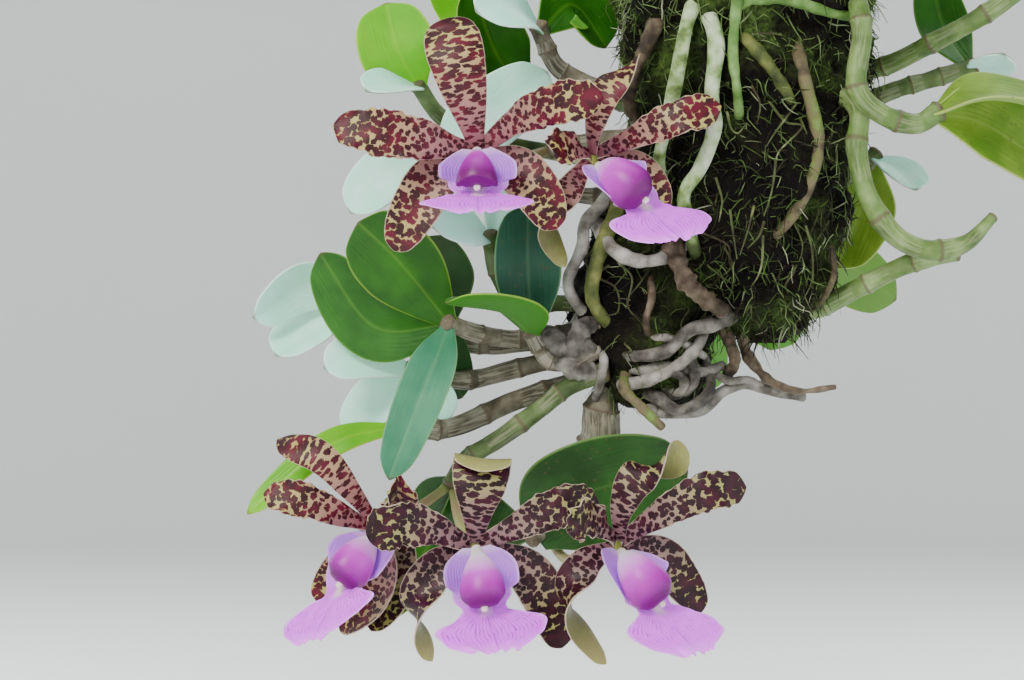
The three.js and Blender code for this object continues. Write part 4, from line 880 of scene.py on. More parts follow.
def strands(rings, seed, rng, count, length, thick):
    row = rng.uniform(rings[0][0], rings[-1][0] - 6, count)
    angle = rng.uniform(0, 2 * np.pi, count)
    start, square = on_lump(rings, row, angle)
    start, _ = on_lump(rings, row, angle, relief_at(start, square, seed) - STRAND_ROOTED)
    above, _ = on_lump(rings, row, angle, 2.0)
    outward = unit(above - start)
    sideways = unit(np.cross(outward, rng.normal(size=(count, 3))))
    wild = rng.uniform(0.0, 1.0, (count, 1)) * (1 - 0.7 * square[:, None])
    heading = unit(sideways + outward * (0.15 + 0.6 * wild**2) + STRAND_PULL)
    long = rng.uniform(*length, (count, 1))
    t = np.linspace(0, 1, STRAND_STEPS + 1)[None, :, None]
    bend = unit(np.cross(heading, rng.normal(size=(count, 3))))
    sway = rng.uniform(0.05, 0.28, (count, 1)) * long
    line = start[:, None] + (heading * long)[:, None] * t
    line = line + (bend * sway)[:, None] * np.sin(np.pi * t * rng.uniform(0.8, 2.0, (count, 1, 1)))
    line = line - np.array([0, 0, 1.0]) * (STRAND_SAG * long)[:, None] * t**2
    over = unit(np.cross(heading, bend))
    radius = rng.uniform(*thick, (count, 1, 1)) * (1 - 0.75 * t)
    turns = 2 * np.pi * np.arange(STRAND_SIDES) / STRAND_SIDES
    points = np.stack([
        line + radius * (bend[:, None] * np.cos(turn) + over[:, None] * np.sin(turn)) for turn in turns
    ], 2)
    per = (STRAND_STEPS + 1) * STRAND_SIDES
    a, b = around(STRAND_STEPS + 1, STRAND_SIDES)
    quads = np.stack([a, b, b + STRAND_SIDES, a + STRAND_SIDES], -1)
    base = np.arange(count)[:, None, None] * per
    tips = np.arange(per - STRAND_SIDES, per)[None]
    tint = rng.uniform(0, 1, (count, 1, 1)) + 0 * points[..., 0]
    living = 0.3 * (1 - smooth(row, *GREEN_ROWS))
    tint = np.maximum(tint, np.minimum(tint + living[:, None, None], 0.88))
    share = np.stack([t + 0 * points[..., 0], 0 * points[..., 0], tint], -1)
    return {
        "points": points.reshape(-1, 3),
        "faces": [(quads[None] + base).reshape(-1, 4), (tips[None] + base).reshape(-1, 3)],
        "share": share.reshape(-1, 3),
    }


print("rings of moss:", len(MOSS_RINGS), "and", len(ROOT_BALL_RINGS))

# %% [markdown]
# Dead moss is a matt, dark, fibrous felt, brown-black where it stays wet and olive where it still
# grows. It is all one soft mass to the eye, so its colour changes over a few millimetres, and nothing
# in it shines.


# %% Moss finishes
STRAND_RAMP = [
    (0.0, "#14120b"), (0.2, "#201c11"), (0.38, "#302c18"), (0.5, "#38461f"), (0.74, "#567634"),
    (0.93, "#7c945c"), (1.0, "#b2b89c"),
]


def per_metre(mm):
    return 1 / (mm * METRES)


def moss_felt():
    """A dark felt that swallows the light, with olive patches where the moss still lives."""
    made, tree, inputs = finish("compacted_moss_felt", 0.97, Specular_IOR_Level=0.2)
    place = add(tree, "ShaderNodeTexCoord")["Object"]
    patches = add(tree, "ShaderNodeTexNoise", {"Vector": place, "Scale": per_metre(22), "Detail": 3.0})
    height = add(tree, "ShaderNodeSeparateXYZ", {0: place})["Z"]
    top, foot = (seen((0, row, 0))[2] * METRES for row in GREEN_ROWS)
    living = add(tree, "ShaderNodeMapRange", {0: height, 1: foot, 2: top, 3: 0.0, 4: 0.07})["Result"]
    tone = add(tree, "ShaderNodeMath", {0: patches["Fac"], 1: living}, operation="ADD")["Value"]
    stops = [(0.4, "#0d0b07"), (0.5, "#1a170e"), (0.57, "#2a3416"), (0.7, "#4b662c")]
    ground = add(tree, "ShaderNodeValToRGB", {0: tone}, stops)
    # Painted shade: this fine noise also raises the bump below, and the felt is darkened in its low
    # hollows.
    fine = add(tree, "ShaderNodeTexNoise", {"Vector": place, "Scale": per_metre(1.6), "Detail": 5.0})
    stops = [(0.35, 0.25), (0.7, 1.0)]
    shade = add(tree, "ShaderNodeValToRGB", {0: fine["Fac"]}, stops)
    links = {"Factor": 1.0, 6: ground["Color"], 7: shade["Color"]}
    mixed = add(tree, "ShaderNodeMix", links, data_type="RGBA", blend_type="MULTIPLY")
    tree.links.new(mixed[2], inputs["Base Color"])
    links = {"Height": fine["Fac"], "Distance": 1.4 * METRES, "Strength": 1.0}
    tree.links.new(add(tree, "ShaderNodeBump", links)["Normal"], inputs["Normal"])
    return made


def strand_finish():
    """Fine wiry threads, from dead brown through living green to a few bleached ones."""
    made, tree, inputs = finish("dry_moss_strand", 0.85, Specular_IOR_Level=0.3)
    share = add(tree, "ShaderNodeAttribute", attribute_name="share")["Vector"]
    share = add(tree, "ShaderNodeSeparateXYZ", {0: share})
    tint = add(tree, "ShaderNodeValToRGB", {0: share["Z"]}, STRAND_RAMP)
    # Painted shade: each strand is darker towards its foot, where it stands in the moss.
    shade = add(tree, "ShaderNodeValToRGB", {0: share["X"]}, [(0.0, 0.35), (0.7, 1.0)])
    links = {"Factor": 1.0, 6: tint["Color"], 7: shade["Color"]}
    mixed = add(tree, "ShaderNodeMix", links, data_type="RGBA", blend_type="MULTIPLY")
    tree.links.new(mixed[2], inputs["Base Color"])
    return made


print("a pattern of 22 mm has the scale", round(per_metre(22), 1))

# %% Moss pieces
MOSS_NODE = "moss_and_roots"
BODY_SEED, BALL_SEED = 11, 12
felt, strand = moss_felt(), strand_finish()
body_shapes = [lump(MOSS_RINGS, BODY_GRID, BODY_SEED), lump(ROOT_BALL_RINGS, BALL_GRID, BALL_SEED)]
make_piece("moss_body", body_shapes, [felt], [MOSS_NODE])
rng = np.random.default_rng(21)
strand_shapes = [
    strands(MOSS_RINGS, BODY_SEED, rng, **STRANDS["body"]),
    strands(ROOT_BALL_RINGS, BALL_SEED, rng, **STRANDS["ball"]),
]
make_piece("moss_strands", strand_shapes, [strand], [MOSS_NODE])
print("moss triangles:", triangle_count["moss_body"], triangle_count["moss_strands"])

# %% [markdown]
# ## Roots
# An orchid's aerial root wears a spongy coat called velamen. It is pale celadon or silver when dry,
# green near the growing tip, and grey or brown when old. The thick roots lie where the frame has
# them. Fine ones are grown over the moss by walking across its surface, which keeps them on it.

# %% Roots
FINE_ROOTS = [
    [(727, 112, -43), (731, 128, -45), (738, 133, -46), (746, 124, -44)],
    [(796, 104, -38), (786, 118, -41), (774, 134, -42), (766, 147, -41)],
    [(730, 210, -38), (733, 232, -40), (737, 259, -38)],
    [(754, 206, -38), (748, 230, -40), (740, 255, -38)],
    [(764, 222, -38), (759, 236, -41), (748, 248, -39)],
    [(763, 236, -37), (762, 262, -38), (758, 276, -36), (751, 287, -34)],
    [(776, 160, -40), (772, 190, -42), (764, 216, -41)],
    [(800, 118, -38), (804, 127, -42), (807, 134, -41)],
    [(752, 86, -43), (760, 104, -45), (757, 124, -43)],
    [(716, 178, -41), (722, 200, -42), (719, 222, -40)],
    [(806, 226, -30), (812, 250, -30), (812, 280, -24), (803, 300, -18)],
    [(640, 30, -22), (648, 64, -25), (640, 92, -24), (650, 120, -22)],
    [(618, 262, -16), (632, 278, -20), (628, 306, -20), (640, 322, -18)],
]
# How many roots wander over each lump, and how many rows below its top they start.
WANDERING = {"body": {"count": 75, "skipped": 190}, "ball": {"count": 30, "skipped": 0}}
# Roots of the tangle under the moss, and the knotted rhizome that the old canes spring from.
TANGLE = [
    ("grey", 2.0, [(676, 352, -8), (689, 358, -16), (695, 372, -17), (690, 388, -15), (672, 396, -10)]),
    ("grey", 1.7, [(655, 372, -8), (672, 372, -17), (684, 380, -18), (680, 392, -14), (662, 390, -8)]),
    ("grey", 1.9, [(618, 366, -4), (640, 370, -14), (668, 366, -16), (700, 372, -13), (722, 366, -4)]),
    ("grey", 1.6, [(640, 340, -12), (664, 338, -18), (684, 344, -17), (704, 356, -10)]),
    ("dry", 1.4, [(648, 268, -12), (652, 296, -18), (646, 322, -18), (654, 344, -12)]),
    ("dry", 2.2, [(724, 330, -4), (731, 346, -9), (735, 362, -9), (728, 374, -2)]),
    ("grey", 1.5, [(704, 366, -4), (726, 380, -8), (748, 380, -6), (766, 388, -4)]),
    ("grey", 4.2, [(604, 352, -2), (586, 346, -8), (570, 350, -10), (556, 342, -9), (546, 334, -4)]),
    ("grey", 3.6, [(606, 330, -2), (590, 324, -9), (578, 334, -12), (574, 352, -10), (582, 370, -4)]),
    ("grey", 3.4, [(604, 372, -3), (588, 372, -10), (572, 370, -11), (560, 360, -8)]),
    ("grey", 1.7, [(600, 342, -6), (604, 362, -12), (600, 382, -10), (596, 398, -3)]),
]
# The ends of these stay in the open air, and the others' are led this far back into the moss.
FREE_ROOTS = ("green crossing", "dry stalk", "grey sweep", "broken stick", "green sprout")
SUNK_DEPTH = 5.0
# The points along each kind of root, and the sides round it.
ROOT_MESH = {
    "thick": (80, 20), "tangle": (48, 18), "behind": (64, 20), "wandering": (22, 7), "fine": (26, 8),
}
# A wandering root's marks, the rows and the turn from one to the next, and its radius.
WALK = {"marks": 5, "rows": (2, 26), "turn": 0.16, "shortest": 6, "radius": (0.2, 0.5)}
ROOT_RAMPS = {
    "pale": [(0.2, "#3c4a22"), (0.32, "#6c8848"), (0.44, "#a2ba88"), (0.58, "#c2d2b0"), (0.8, "#dfe6d4")],
    "green": [(0.3, "#385820"), (0.5, "#577e38"), (0.75, "#82a462")],
    "mossy": [(0.3, "#242c12"), (0.45, "#424e20"), (0.6, "#5e6830"), (0.75, "#7e8248")],
    "brown": [(0.3, "#2c2618"), (0.42, "#4d4430"), (0.56, "#6c6248"), (0.68, "#626c38"), (0.8, "#6f8a44")],
    # Grey: partly the old roots' own colour, partly painted shade, darkened for the roots low in the root
    # ball.
    "grey": [(0.3, "#2a2822"), (0.44, "#55534a"), (0.58, "#7e7c72"), (0.8, "#aeaca4")],
    "white": [(0.3, "#56544a"), (0.44, "#86847a"), (0.58, "#aaa89e"), (0.8, "#cac8c0")],
    "dry": [(0.3, "#282016"), (0.45, "#4b4030"), (0.6, "#6f6250"), (0.78, "#9c907c")],
    "fine": [(0.3, "#1c180e"), (0.45, "#33301a"), (0.6, "#46542a"), (0.72, "#6a7448"), (0.9, "#b0b498")],
}


def root_finish(look):
    """Chalky, softly mottled velamen: it looks dry where it is pale and wet where it is green."""
    made, tree, inputs = finish(f"velamen_{look}", 0.72, Specular_IOR_Level=0.4)
    place = add(tree, "ShaderNodeTexCoord")["Object"]
    share = add(tree, "ShaderNodeAttribute", attribute_name="share")["Vector"]
    share = add(tree, "ShaderNodeSeparateXYZ", {0: share})
    patches = add(tree, "ShaderNodeTexNoise", {"Vector": place, "Scale": per_metre(6), "Detail": 4.0})
    links = {0: share["Z"], 3: -0.07, 4: 0.09}
    shift = add(tree, "ShaderNodeMapRange", links)["Result"]
    tone = add(tree, "ShaderNodeMath", {0: patches["Fac"], 1: shift}, operation="ADD")["Value"]
    if look == "pale":
        # The lower end, towards the moss, is darker and greener.
        darker_lower_end = add(tree, "ShaderNodeMapRange", {0: share["X"], 1: 0.6, 2: 0.85, 3: 0.0, 4: -0.3})["Result"]
        tone = add(tree, "ShaderNodeMath", {0: tone, 1: darker_lower_end}, operation="ADD")["Value"]
    tint = add(tree, "ShaderNodeValToRGB", {0: tone}, ROOT_RAMPS[look])
    tree.links.new(tint["Color"], inputs["Base Color"])
    fine = add(tree, "ShaderNodeTexNoise", {"Vector": place, "Scale": per_metre(0.9), "Detail": 3.0})
    links = {"Height": fine["Fac"], "Distance": 0.25 * METRES, "Strength": 1.0}
    tree.links.new(add(tree, "ShaderNodeBump", links)["Normal"], inputs["Normal"])
    return made


def lumpy(seed, share):
    rng = np.random.default_rng(seed)
    a, b = rng.uniform(0, 6.3, 2)

    def relief(u, turn):
        bulge = np.sin(23 * u + a) * np.sin(9 * u + b) * 0.6
        return 1 + share * (bulge + 0.5 * np.sin(2 * turn + 17 * u + a) + 0.3 * np.sin(51 * u + b))

    return relief


def taper(radius, first, final):
    return lambda u: radius * (first + (final - first) * u)


def wandering(rings, rng, count, skipped):
    """Roots that walk down and about over a lump's surface, and dip in and out of it."""
    made = []
    first, final = rings[0][0] + skipped, rings[-1][0]
    for _ in range(count):
        row = rng.uniform(first, final - 30)
        angle = rng.uniform(-np.pi, np.pi)
        marks = np.zeros((WALK["marks"], 3))
        marks[:, 0] = row + np.cumsum(rng.uniform(*WALK["rows"], WALK["marks"]))
        marks[:, 1] = angle + np.cumsum(rng.normal(0, WALK["turn"], WALK["marks"]))
        way = along_line(marks, np.linspace(0, 1, ROOT_MESH["wandering"][0]))
        way = way[way[:, 0] < final - 4]
        if len(way) < WALK["shortest"]:
            continue
        shares = np.linspace(0, 1, len(way))
        lift = 0.9 + 1.4 * np.sin(np.pi * shares * 2 + rng.uniform(0, 6)) - 2.0 * (shares < 0.04)
        line, _ = on_lump(rings, way[:, 0], way[:, 1], lift)
        width = taper(rng.uniform(*WALK["radius"]), 1.1, 0.45)
        made.append(stem(line, width, ROOT_MESH["wandering"][1], seed=rng.uniform(0, 1)))
    return made


def sunk(line, depth):
    """The line with both ends led back into the moss behind it."""
    u = np.linspace(0, 1, len(line))
    into = 1 - smooth(np.minimum(u, 1 - u), 0.0, 0.09)
    return line + np.array([0, 1.0, 0.3]) * (depth * into)[:, None]


root_finishes = [root_finish(look) for look in ROOT_RAMPS]
root_looks = list(ROOT_RAMPS)
root_shapes = []
along, sides = ROOT_MESH["thick"]
for index, (label, look, radius, places) in enumerate(ROOTS):
    line = traced(places, along)
    line = line if label in FREE_ROOTS else sunk(line, SUNK_DEPTH)
    relief = lumpy(index, 0.3 if look == "dry" else 0.12)
    width = taper(radius, 1.05, 0.35 if label == "dry stalk" else 0.8)
    chosen, seed = root_looks.index(look), (index * 0.37) % 1
    root_shapes.append(stem(line, width, sides, look=chosen, seed=seed, relief=relief))
along, sides = ROOT_MESH["tangle"]
for index, (look, radius, places) in enumerate(TANGLE):
    relief = lumpy(70 + index, 0.2 if radius > 3 else 0.12)
    chosen, seed = root_looks.index(look), (index * 0.29) % 1
    width = taper(radius, 1.0, 0.9)
    root_shapes.append(stem(traced(places, along), width, sides, look=chosen, seed=seed, relief=relief))
make_piece("thick_roots", root_shapes, root_finishes, [MOSS_NODE])
print("thick roots:", len(root_shapes))

# %% [markdown]
# The photograph doesn't show the plant's back. Five more roots run down it, so that it isn't bare when
# the part is turned. They could be mirrored from the front, but a rule that spreads them round the
# moss makes each one different.

# %% Hidden and fine roots
HIDDEN_ROOTS = 5


def hidden_root(k):
    steps = np.arange(7)
    row = -5 + (k % 3) * 12 + steps / 6 * (250 + 20 * (k % 2))
    reach = np.interp(row, [r[0] for r in MOSS_RINGS], [r[2] for r in MOSS_RINGS])
    angle = np.pi * (0.04 + 0.92 * k / (HIDDEN_ROOTS - 1)) + 0.16 * np.sin(1.7 * steps + 2 * k)
    out = reach * np.where((steps == 0) | (steps == 6), 0.92, 0.98)
    middle = np.array([seen((HOOK_PLACE[0], r, 0)) for r in row])
    places = middle + np.stack([out * np.cos(angle), out * np.sin(angle), 0 * out], -1)
    along, sides = ROOT_MESH["behind"]
    line, width = along_line(places, np.linspace(0, 1, along)), taper(2.2, 1.1, 0.75)
    look = root_looks.index(("pale", "grey", "green")[k % 3])
    return stem(line, width, sides, look=look, seed=k / HIDDEN_ROOTS, relief=lumpy(40 + k, 0.1))


hidden = [hidden_root(k) for k in range(HIDDEN_ROOTS)]
make_piece("thick_roots_behind", hidden, root_finishes, [MOSS_NODE])
rng = np.random.default_rng(31)
fine_shapes = wandering(MOSS_RINGS, rng, **WANDERING["body"])
fine_shapes += wandering(ROOT_BALL_RINGS, rng, **WANDERING["ball"])
along, sides = ROOT_MESH["fine"]
for k, places in enumerate(FINE_ROOTS):
    fine_shapes.append(stem(traced(places, along), taper(0.45, 1.1, 0.4), sides, seed=0.8 + 0.2 * (k % 2)))
make_piece("fine_roots", fine_shapes, [root_finishes[-1]], [MOSS_NODE])
print("root triangles:", {k: v for k, v in triangle_count.items() if "root" in k})

# %% [markdown]
# ## Basket and hanger
# The basket is twelve cedar slats laid crosswise like logs, with two more for a floor and four wires
# through their ends. Its slats stay as the frame's own pieces. A bevel rounds their arrises, which
# catch the light on any real sawn batten, and the wood is silvered cedar, its grain stretched along
# each slat.

# %% Basket
ARRIS = 0.7
GRAIN_LENGTH = 26
GRAIN_WIDTH = 0.8


def cedar(name, along_x):
    """Weathered wood: silvery streaks along the grain, greenish where water stands on it."""
    made, tree, inputs = finish(name, 0.82)
    place = add(tree, "ShaderNodeTexCoord")["Object"]
    long, fine = per_metre(GRAIN_LENGTH), per_metre(GRAIN_WIDTH)
    scale = (long, fine, fine) if along_x else (fine, long, fine)
    stretched = add(tree, "ShaderNodeMapping", {"Vector": place, "Scale": scale})["Vector"]
    grain = add(tree, "ShaderNodeTexNoise", {"Vector": stretched, "Scale": 1.0, "Detail": 4.0})
    stops = [(0.3, "#3f2c1c"), (0.48, "#74563a"), (0.62, "#94755a"), (0.78, "#a99a86")]
    tint = add(tree, "ShaderNodeValToRGB", {0: grain["Fac"]}, stops)
    wet = add(tree, "ShaderNodeTexNoise", {"Vector": place, "Scale": per_metre(24), "Detail": 2.0})
    damp = add(tree, "ShaderNodeValToRGB", {0: wet["Fac"]}, [(0.38, "#6d7a4e"), (0.55, "#ffffff")])
    links = {"Factor": 0.75, 6: tint["Color"], 7: damp["Color"]}
    mixed = add(tree, "ShaderNodeMix", links, data_type="RGBA", blend_type="MULTIPLY")
    tree.links.new(mixed[2], inputs["Base Color"])
    links = {"Height": grain["Fac"], "Distance": 0.35 * METRES, "Strength": 1.0}
    tree.links.new(add(tree, "ShaderNodeBump", links)["Normal"], inputs["Normal"])
    return made


cedars = {True: cedar("silvered_cedar_x", True), False: cedar("silvered_cedar_y", False)}
slats = [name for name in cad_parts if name.startswith("slat_")]
for name in slats:
    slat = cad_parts[name]
    lengthwise = any(side in name for side in ("front", "back"))
    slat.data.materials.clear()
    slat.data.materials.append(cedars[lengthwise])
    bevel = slat.modifiers.new("arris", "BEVEL")
    bevel.width = ARRIS * METRES
    bevel.segments = 3
    bevel.limit_method = "ANGLE"
print("slats:", len(slats))

# %% [markdown]
# The wires are galvanised steel, which is zinc-dipped: grey, faintly cloudy, and duller than bare
# steel. The four of them are bent together and wound round the foot of the hook's shank. Curves with a
# bevel would draw them as well, but the stems above already follow a line of points.

# %% Wires and hook
BASKET_OUTSIDE = 108.0
SLAT = 9.0
GAP = 0.3
BASKET_TOP = -171.5
BASKET_BOTTOM = BASKET_TOP - 6 * SLAT - 5 * GAP
WIRE = {"radius": 1.0, "inset": 4.5, "foot": 9.0, "rise": 3.0, "spread": 2.0, "bend": 3.0, "sides": 14}
HOOK = {"radius": 1.5, "inside": 9.0, "start": -70, "end": 200, "marks": 40, "points": 120, "sides": 18}
TWIST = {
    "top": -26.0, "bottom": -44.0, "narrow": 2.2, "wide": 3.8, "turns": 3.5,
    "wires": 4, "radius": 0.8, "points": 90, "sides": 8,
}


def zinc():
    """Dull grey metal with faint clouds, which glints only where it turns."""
    made, tree, inputs = finish("galvanised_steel", 0.42, Metallic=1.0)
    place = add(tree, "ShaderNodeTexCoord")["Object"]
    cloud = add(tree, "ShaderNodeTexNoise", {"Vector": place, "Scale": per_metre(5), "Detail": 3.0})
    stops = [(0.3, "#7d8082"), (0.7, "#b4b7b8")]
    tint = add(tree, "ShaderNodeValToRGB", {0: cloud["Fac"]}, stops)
    tree.links.new(tint["Color"], inputs["Base Color"])
    return made


def softened(corners, radius, steps=5):
    """The line through its corners, with an arc of small steps instead of each sharp bend."""
    points = [corners[0]]
    for before, corner, after in zip(corners, corners[1:], corners[2:]):
        back = min(radius, np.linalg.norm(before - corner) / 2)
        ahead = min(radius, np.linalg.norm(after - corner) / 2)
        a, b = corner + back * unit(before - corner), corner + ahead * unit(after - corner)
        for t in np.linspace(0, 1, steps):
            points.append((1 - t) ** 2 * a + 2 * t * (1 - t) * corner + t**2 * b)
    return np.array([*points, corners[-1]])


steel = zinc()
corner = BASKET_OUTSIDE / 2 - WIRE["inset"]
low = BASKET_BOTTOM - GAP - WIRE["radius"]
for x_side, y_side in ((-1, -1), (1, -1), (-1, 1), (1, 1)):
    line = np.array([
        (corner - WIRE["foot"], corner, low),
        (corner, corner, low),
        (corner, corner, BASKET_TOP + WIRE["rise"]),
        (WIRE["spread"], WIRE["spread"], TWIST["bottom"] - GAP - WIRE["radius"]),
    ]) * (x_side, y_side, 1)
    name = f"hanger_wire_{'front' if y_side < 0 else 'back'}_{'left' if x_side < 0 else 'right'}"
    shape = stem(softened(line, WIRE["bend"]), taper(WIRE["radius"], 1, 1), WIRE["sides"])
    make_piece(f"{name}_steel", [shape], [steel], [name])

reach = HOOK["inside"] + HOOK["radius"]
angles = np.radians(np.linspace(HOOK["start"], HOOK["end"], HOOK["marks"]))
crook = np.stack([reach * np.cos(angles), 0 * angles, reach * np.sin(angles) - HOOK["inside"]], -1)
shank = [(0, 0, TWIST["bottom"] + 2), (0, 0, TWIST["top"] - 3), (0.3, 0, TWIST["top"] + 3)]
hook_line = along_line(np.vstack([shank, crook[::3]]), np.linspace(0, 1, HOOK["points"]))
hook_shapes = [stem(hook_line, taper(HOOK["radius"], 1, 1), HOOK["sides"])]
share = np.linspace(0, 1, TWIST["points"])
for k in range(TWIST["wires"]):
    turn = 2 * np.pi * (TWIST["turns"] * share + k / TWIST["wires"])
    out = TWIST["narrow"] + (TWIST["wide"] - TWIST["narrow"]) * share - TWIST["radius"]
    z = TWIST["top"] + (TWIST["bottom"] - TWIST["top"]) * share
    wound = np.stack([out * np.cos(turn), out * np.sin(turn), z], -1)
    hook_shapes.append(stem(wound, taper(TWIST["radius"], 1, 1), TWIST["sides"]))
make_piece("hanger_hook_steel", hook_shapes, [steel], ["hanger_hook"])
print("hook triangles:", triangle_count["hanger_hook_steel"])

# %% [markdown]
# ## Canes
# A cane, or pseudobulb, is a fleshy jointed stem. Each joint has a raised ring, and below it hangs the
# rest of a dry papery sheath, whitish and streaked lengthwise. Young canes are smooth and green, old
# ones are grey and furrowed. The rings and sheaths are part of the shape, and their places along the
# cane tell the surface where the paper ends and the green flesh shows.

# %% Cane shapes and finishes
JOINTS = 4
CANE_GRID = (150, 22)
CANE_RAMPS = {
    "young": [(0.3, "#3d5a20"), (0.5, "#5f7e3a"), (0.7, "#84a060")],
    "green": [(0.3, "#2b3f18"), (0.5, "#4a602e"), (0.7, "#6c8250")],
    "old": [(0.3, "#27221a"), (0.45, "#504b3a"), (0.6, "#7a7664"), (0.78, "#a5a292")],
}
# The paper's colour, and how much of the flesh it hides at most.
SHEATHS = {"young": ("#a9b088", 0.3), "green": ("#8c8c72", 0.55), "old": ("#a09d8c", 0.62)}
FURROWS = {"young": 0.012, "green": 0.025, "old": 0.045}


def cane_radius(cane, seed):
    rng = np.random.default_rng(seed)
    reach = rng.uniform(0.35, 0.85, JOINTS + 1)
    swell, dry = cane.get("swell", 1), cane.get("dry", False)

    def sheath(u):
        joint = np.minimum((u * JOINTS).astype(int), JOINTS)
        within = u * JOINTS - joint
        return 1 - smooth(within, reach[joint] - 0.015, reach[joint] + 0.015)

    def radius(u):
        belly = 1 + (swell - 1) * np.sin(np.pi * u)
        wave = np.abs(np.cos(np.pi * JOINTS * u))
        joint = 0.07 * wave**4 + 0.1 * wave**80
        end = np.where(dry & (u > 0.8), 1 - 2.6 * (u - 0.8), 1.0)
        paper = 0.035 * sheath(u)
        return cane["r"] * (0.93 + joint + paper) * belly * end

    return radius, sheath


def furrowed(seed, depth):
    rng = np.random.default_rng(seed)
    phase = rng.uniform(0, 6.3, 3)

    def relief(u, turn):
        ribs = np.sin(9 * turn + phase[0] + 1.2 * np.sin(7 * u)) * 0.5 + np.sin(5 * turn + phase[1])
        return 1 + depth * ribs + depth * 0.5 * np.sin(37 * u + phase[2])

    return relief


def cane_finish(look):
    """Fleshy green or grey skin, half hidden by whitish paper, with a brown line at each joint."""
    made, tree, inputs = finish(f"cane_{look}", 0.55 if look == "young" else 0.72)
    share = add(tree, "ShaderNodeAttribute", attribute_name="share")["Vector"]
    share = add(tree, "ShaderNodeSeparateXYZ", {0: share})
    size = add(tree, "ShaderNodeAttribute", attribute_name="size")["Vector"]
    size = add(tree, "ShaderNodeSeparateXYZ", {0: size})
    place = add(tree, "ShaderNodeTexCoord")["Object"]
    patches = add(tree, "ShaderNodeTexNoise", {"Vector": place, "Scale": per_metre(9), "Detail": 4.0})
    flesh = add(tree, "ShaderNodeValToRGB", {0: patches["Fac"]}, CANE_RAMPS[look])
    slow = add(tree, "ShaderNodeMath", {0: size["Z"], 1: 0.05}, operation="MULTIPLY")["Value"]
    links = {"X": size["X"], "Y": size["Y"], "Z": slow}
    stretched = add(tree, "ShaderNodeCombineXYZ", links)["Vector"]
    fibres = add(tree, "ShaderNodeTexNoise", {"Vector": stretched, "Scale": 1.5, "Detail": 2.0})
    streak = add(tree, "ShaderNodeValToRGB", {0: fibres["Fac"]}, [(0.45, 0.0), (0.58, 1.0)])
    paper, most = SHEATHS[look]
    worn = add(tree, "ShaderNodeMath", {0: share["Y"], 1: streak["Color"]}, operation="MULTIPLY")
    cover = add(tree, "ShaderNodeMath", {0: worn["Value"], 1: most}, operation="MULTIPLY")["Value"]
    links = {"Factor": cover, 6: flesh["Color"], 7: colour(paper)}
    dressed = add(tree, "ShaderNodeMix", links, data_type="RGBA")
    # The rings sit where the shape has them, at the crests of the same wave.
    times = add(tree, "ShaderNodeMath", {0: share["X"], 1: np.pi * JOINTS}, operation="MULTIPLY")
    wave = add(tree, "ShaderNodeMath", {0: times["Value"]}, operation="COSINE")["Value"]
    wave = add(tree, "ShaderNodeMath", {0: wave}, operation="ABSOLUTE")["Value"]
    ring = add(tree, "ShaderNodeMapRange", {0: wave, 1: 0.992, 2: 0.9995, 3: 0.0, 4: 0.75})["Result"]
    links = {"Factor": ring, 6: dressed[2], 7: colour("#5b4c38")}
    ringed = add(tree, "ShaderNodeMix", links, data_type="RGBA")
    tree.links.new(ringed[2], inputs["Base Color"])
    links = {"Height": fibres["Fac"], "Distance": 0.3 * METRES, "Strength": 1.0}
    tree.links.new(add(tree, "ShaderNodeBump", links)["Normal"], inputs["Normal"])
    return made


print("looks of canes:", ", ".join(CANE_RAMPS))

# %% [markdown]
# ## Leaves
# The leaves are stiff and fleshy, folded a little along the midrib, with a thin pale margin. A leaf's
# upper face is green with a waxy shine, and its underside is duller and often bluish white with wax.
# Light comes through the young ones, which look yellow-green. Subsurface light would show that in
# close-up; here it is painted light instead, in the backlit lime colour and a lighter colour near the
# margin, which read the same and stay quick.

# %% Leaf finishes
LEAF_GRID = (46, 14)
LEAF_THICKNESS = 1.5
LEAF_ROOTED = 2.0
LEAF = {"base": 0.2, "peak": 0.52, "end": 0.12, "fold": 0.2, "cup": 0.1}
# The colours of the front between its veins and on them, of the back, and of the margin.
LEAF_LOOKS = {
    "bright": ("#184e04", "#286609", "#64943a", "#80a62e"),
    # Backlit lime: partly the young leaves' own yellow-green, partly painted light coming through them.
    "lime": ("#5aae00", "#70bf04", "#92c440", "#b4d63c"),
    "mid": ("#1a5208", "#2a6814", "#589a34", "#74a636"),
    "mint": ("#b0fce2", "#ccfff2", "#2a661c", "#e4fff4"),
    "blue": ("#1c4a34", "#285840", "#7aae94", "#6f9e66"),
    "glaucous": ("#2f7654", "#468c68", "#86bc9c", "#7ab070"),
    "dark": ("#183c14", "#254f1e", "#5c8a54", "#64864a"),
    "deep": ("#193f10", "#28581c", "#5f9652", "#6a8c48"),
    "spotted": ("#547c16", "#76982c", "#94b45c", "#a8ba68"),
    "underside": ("#2f7410", "#448c1e", "#347812", "#8cb63c"),
}
GLOSSY = ("deep", "bright", "mid", "lime")
PITTED = ("spotted", "deep", "blue")
# Which face of a blade a point lies on: its size keeps 1 for the front and -1 for the back.
FACES = (-0.1, 0.1)


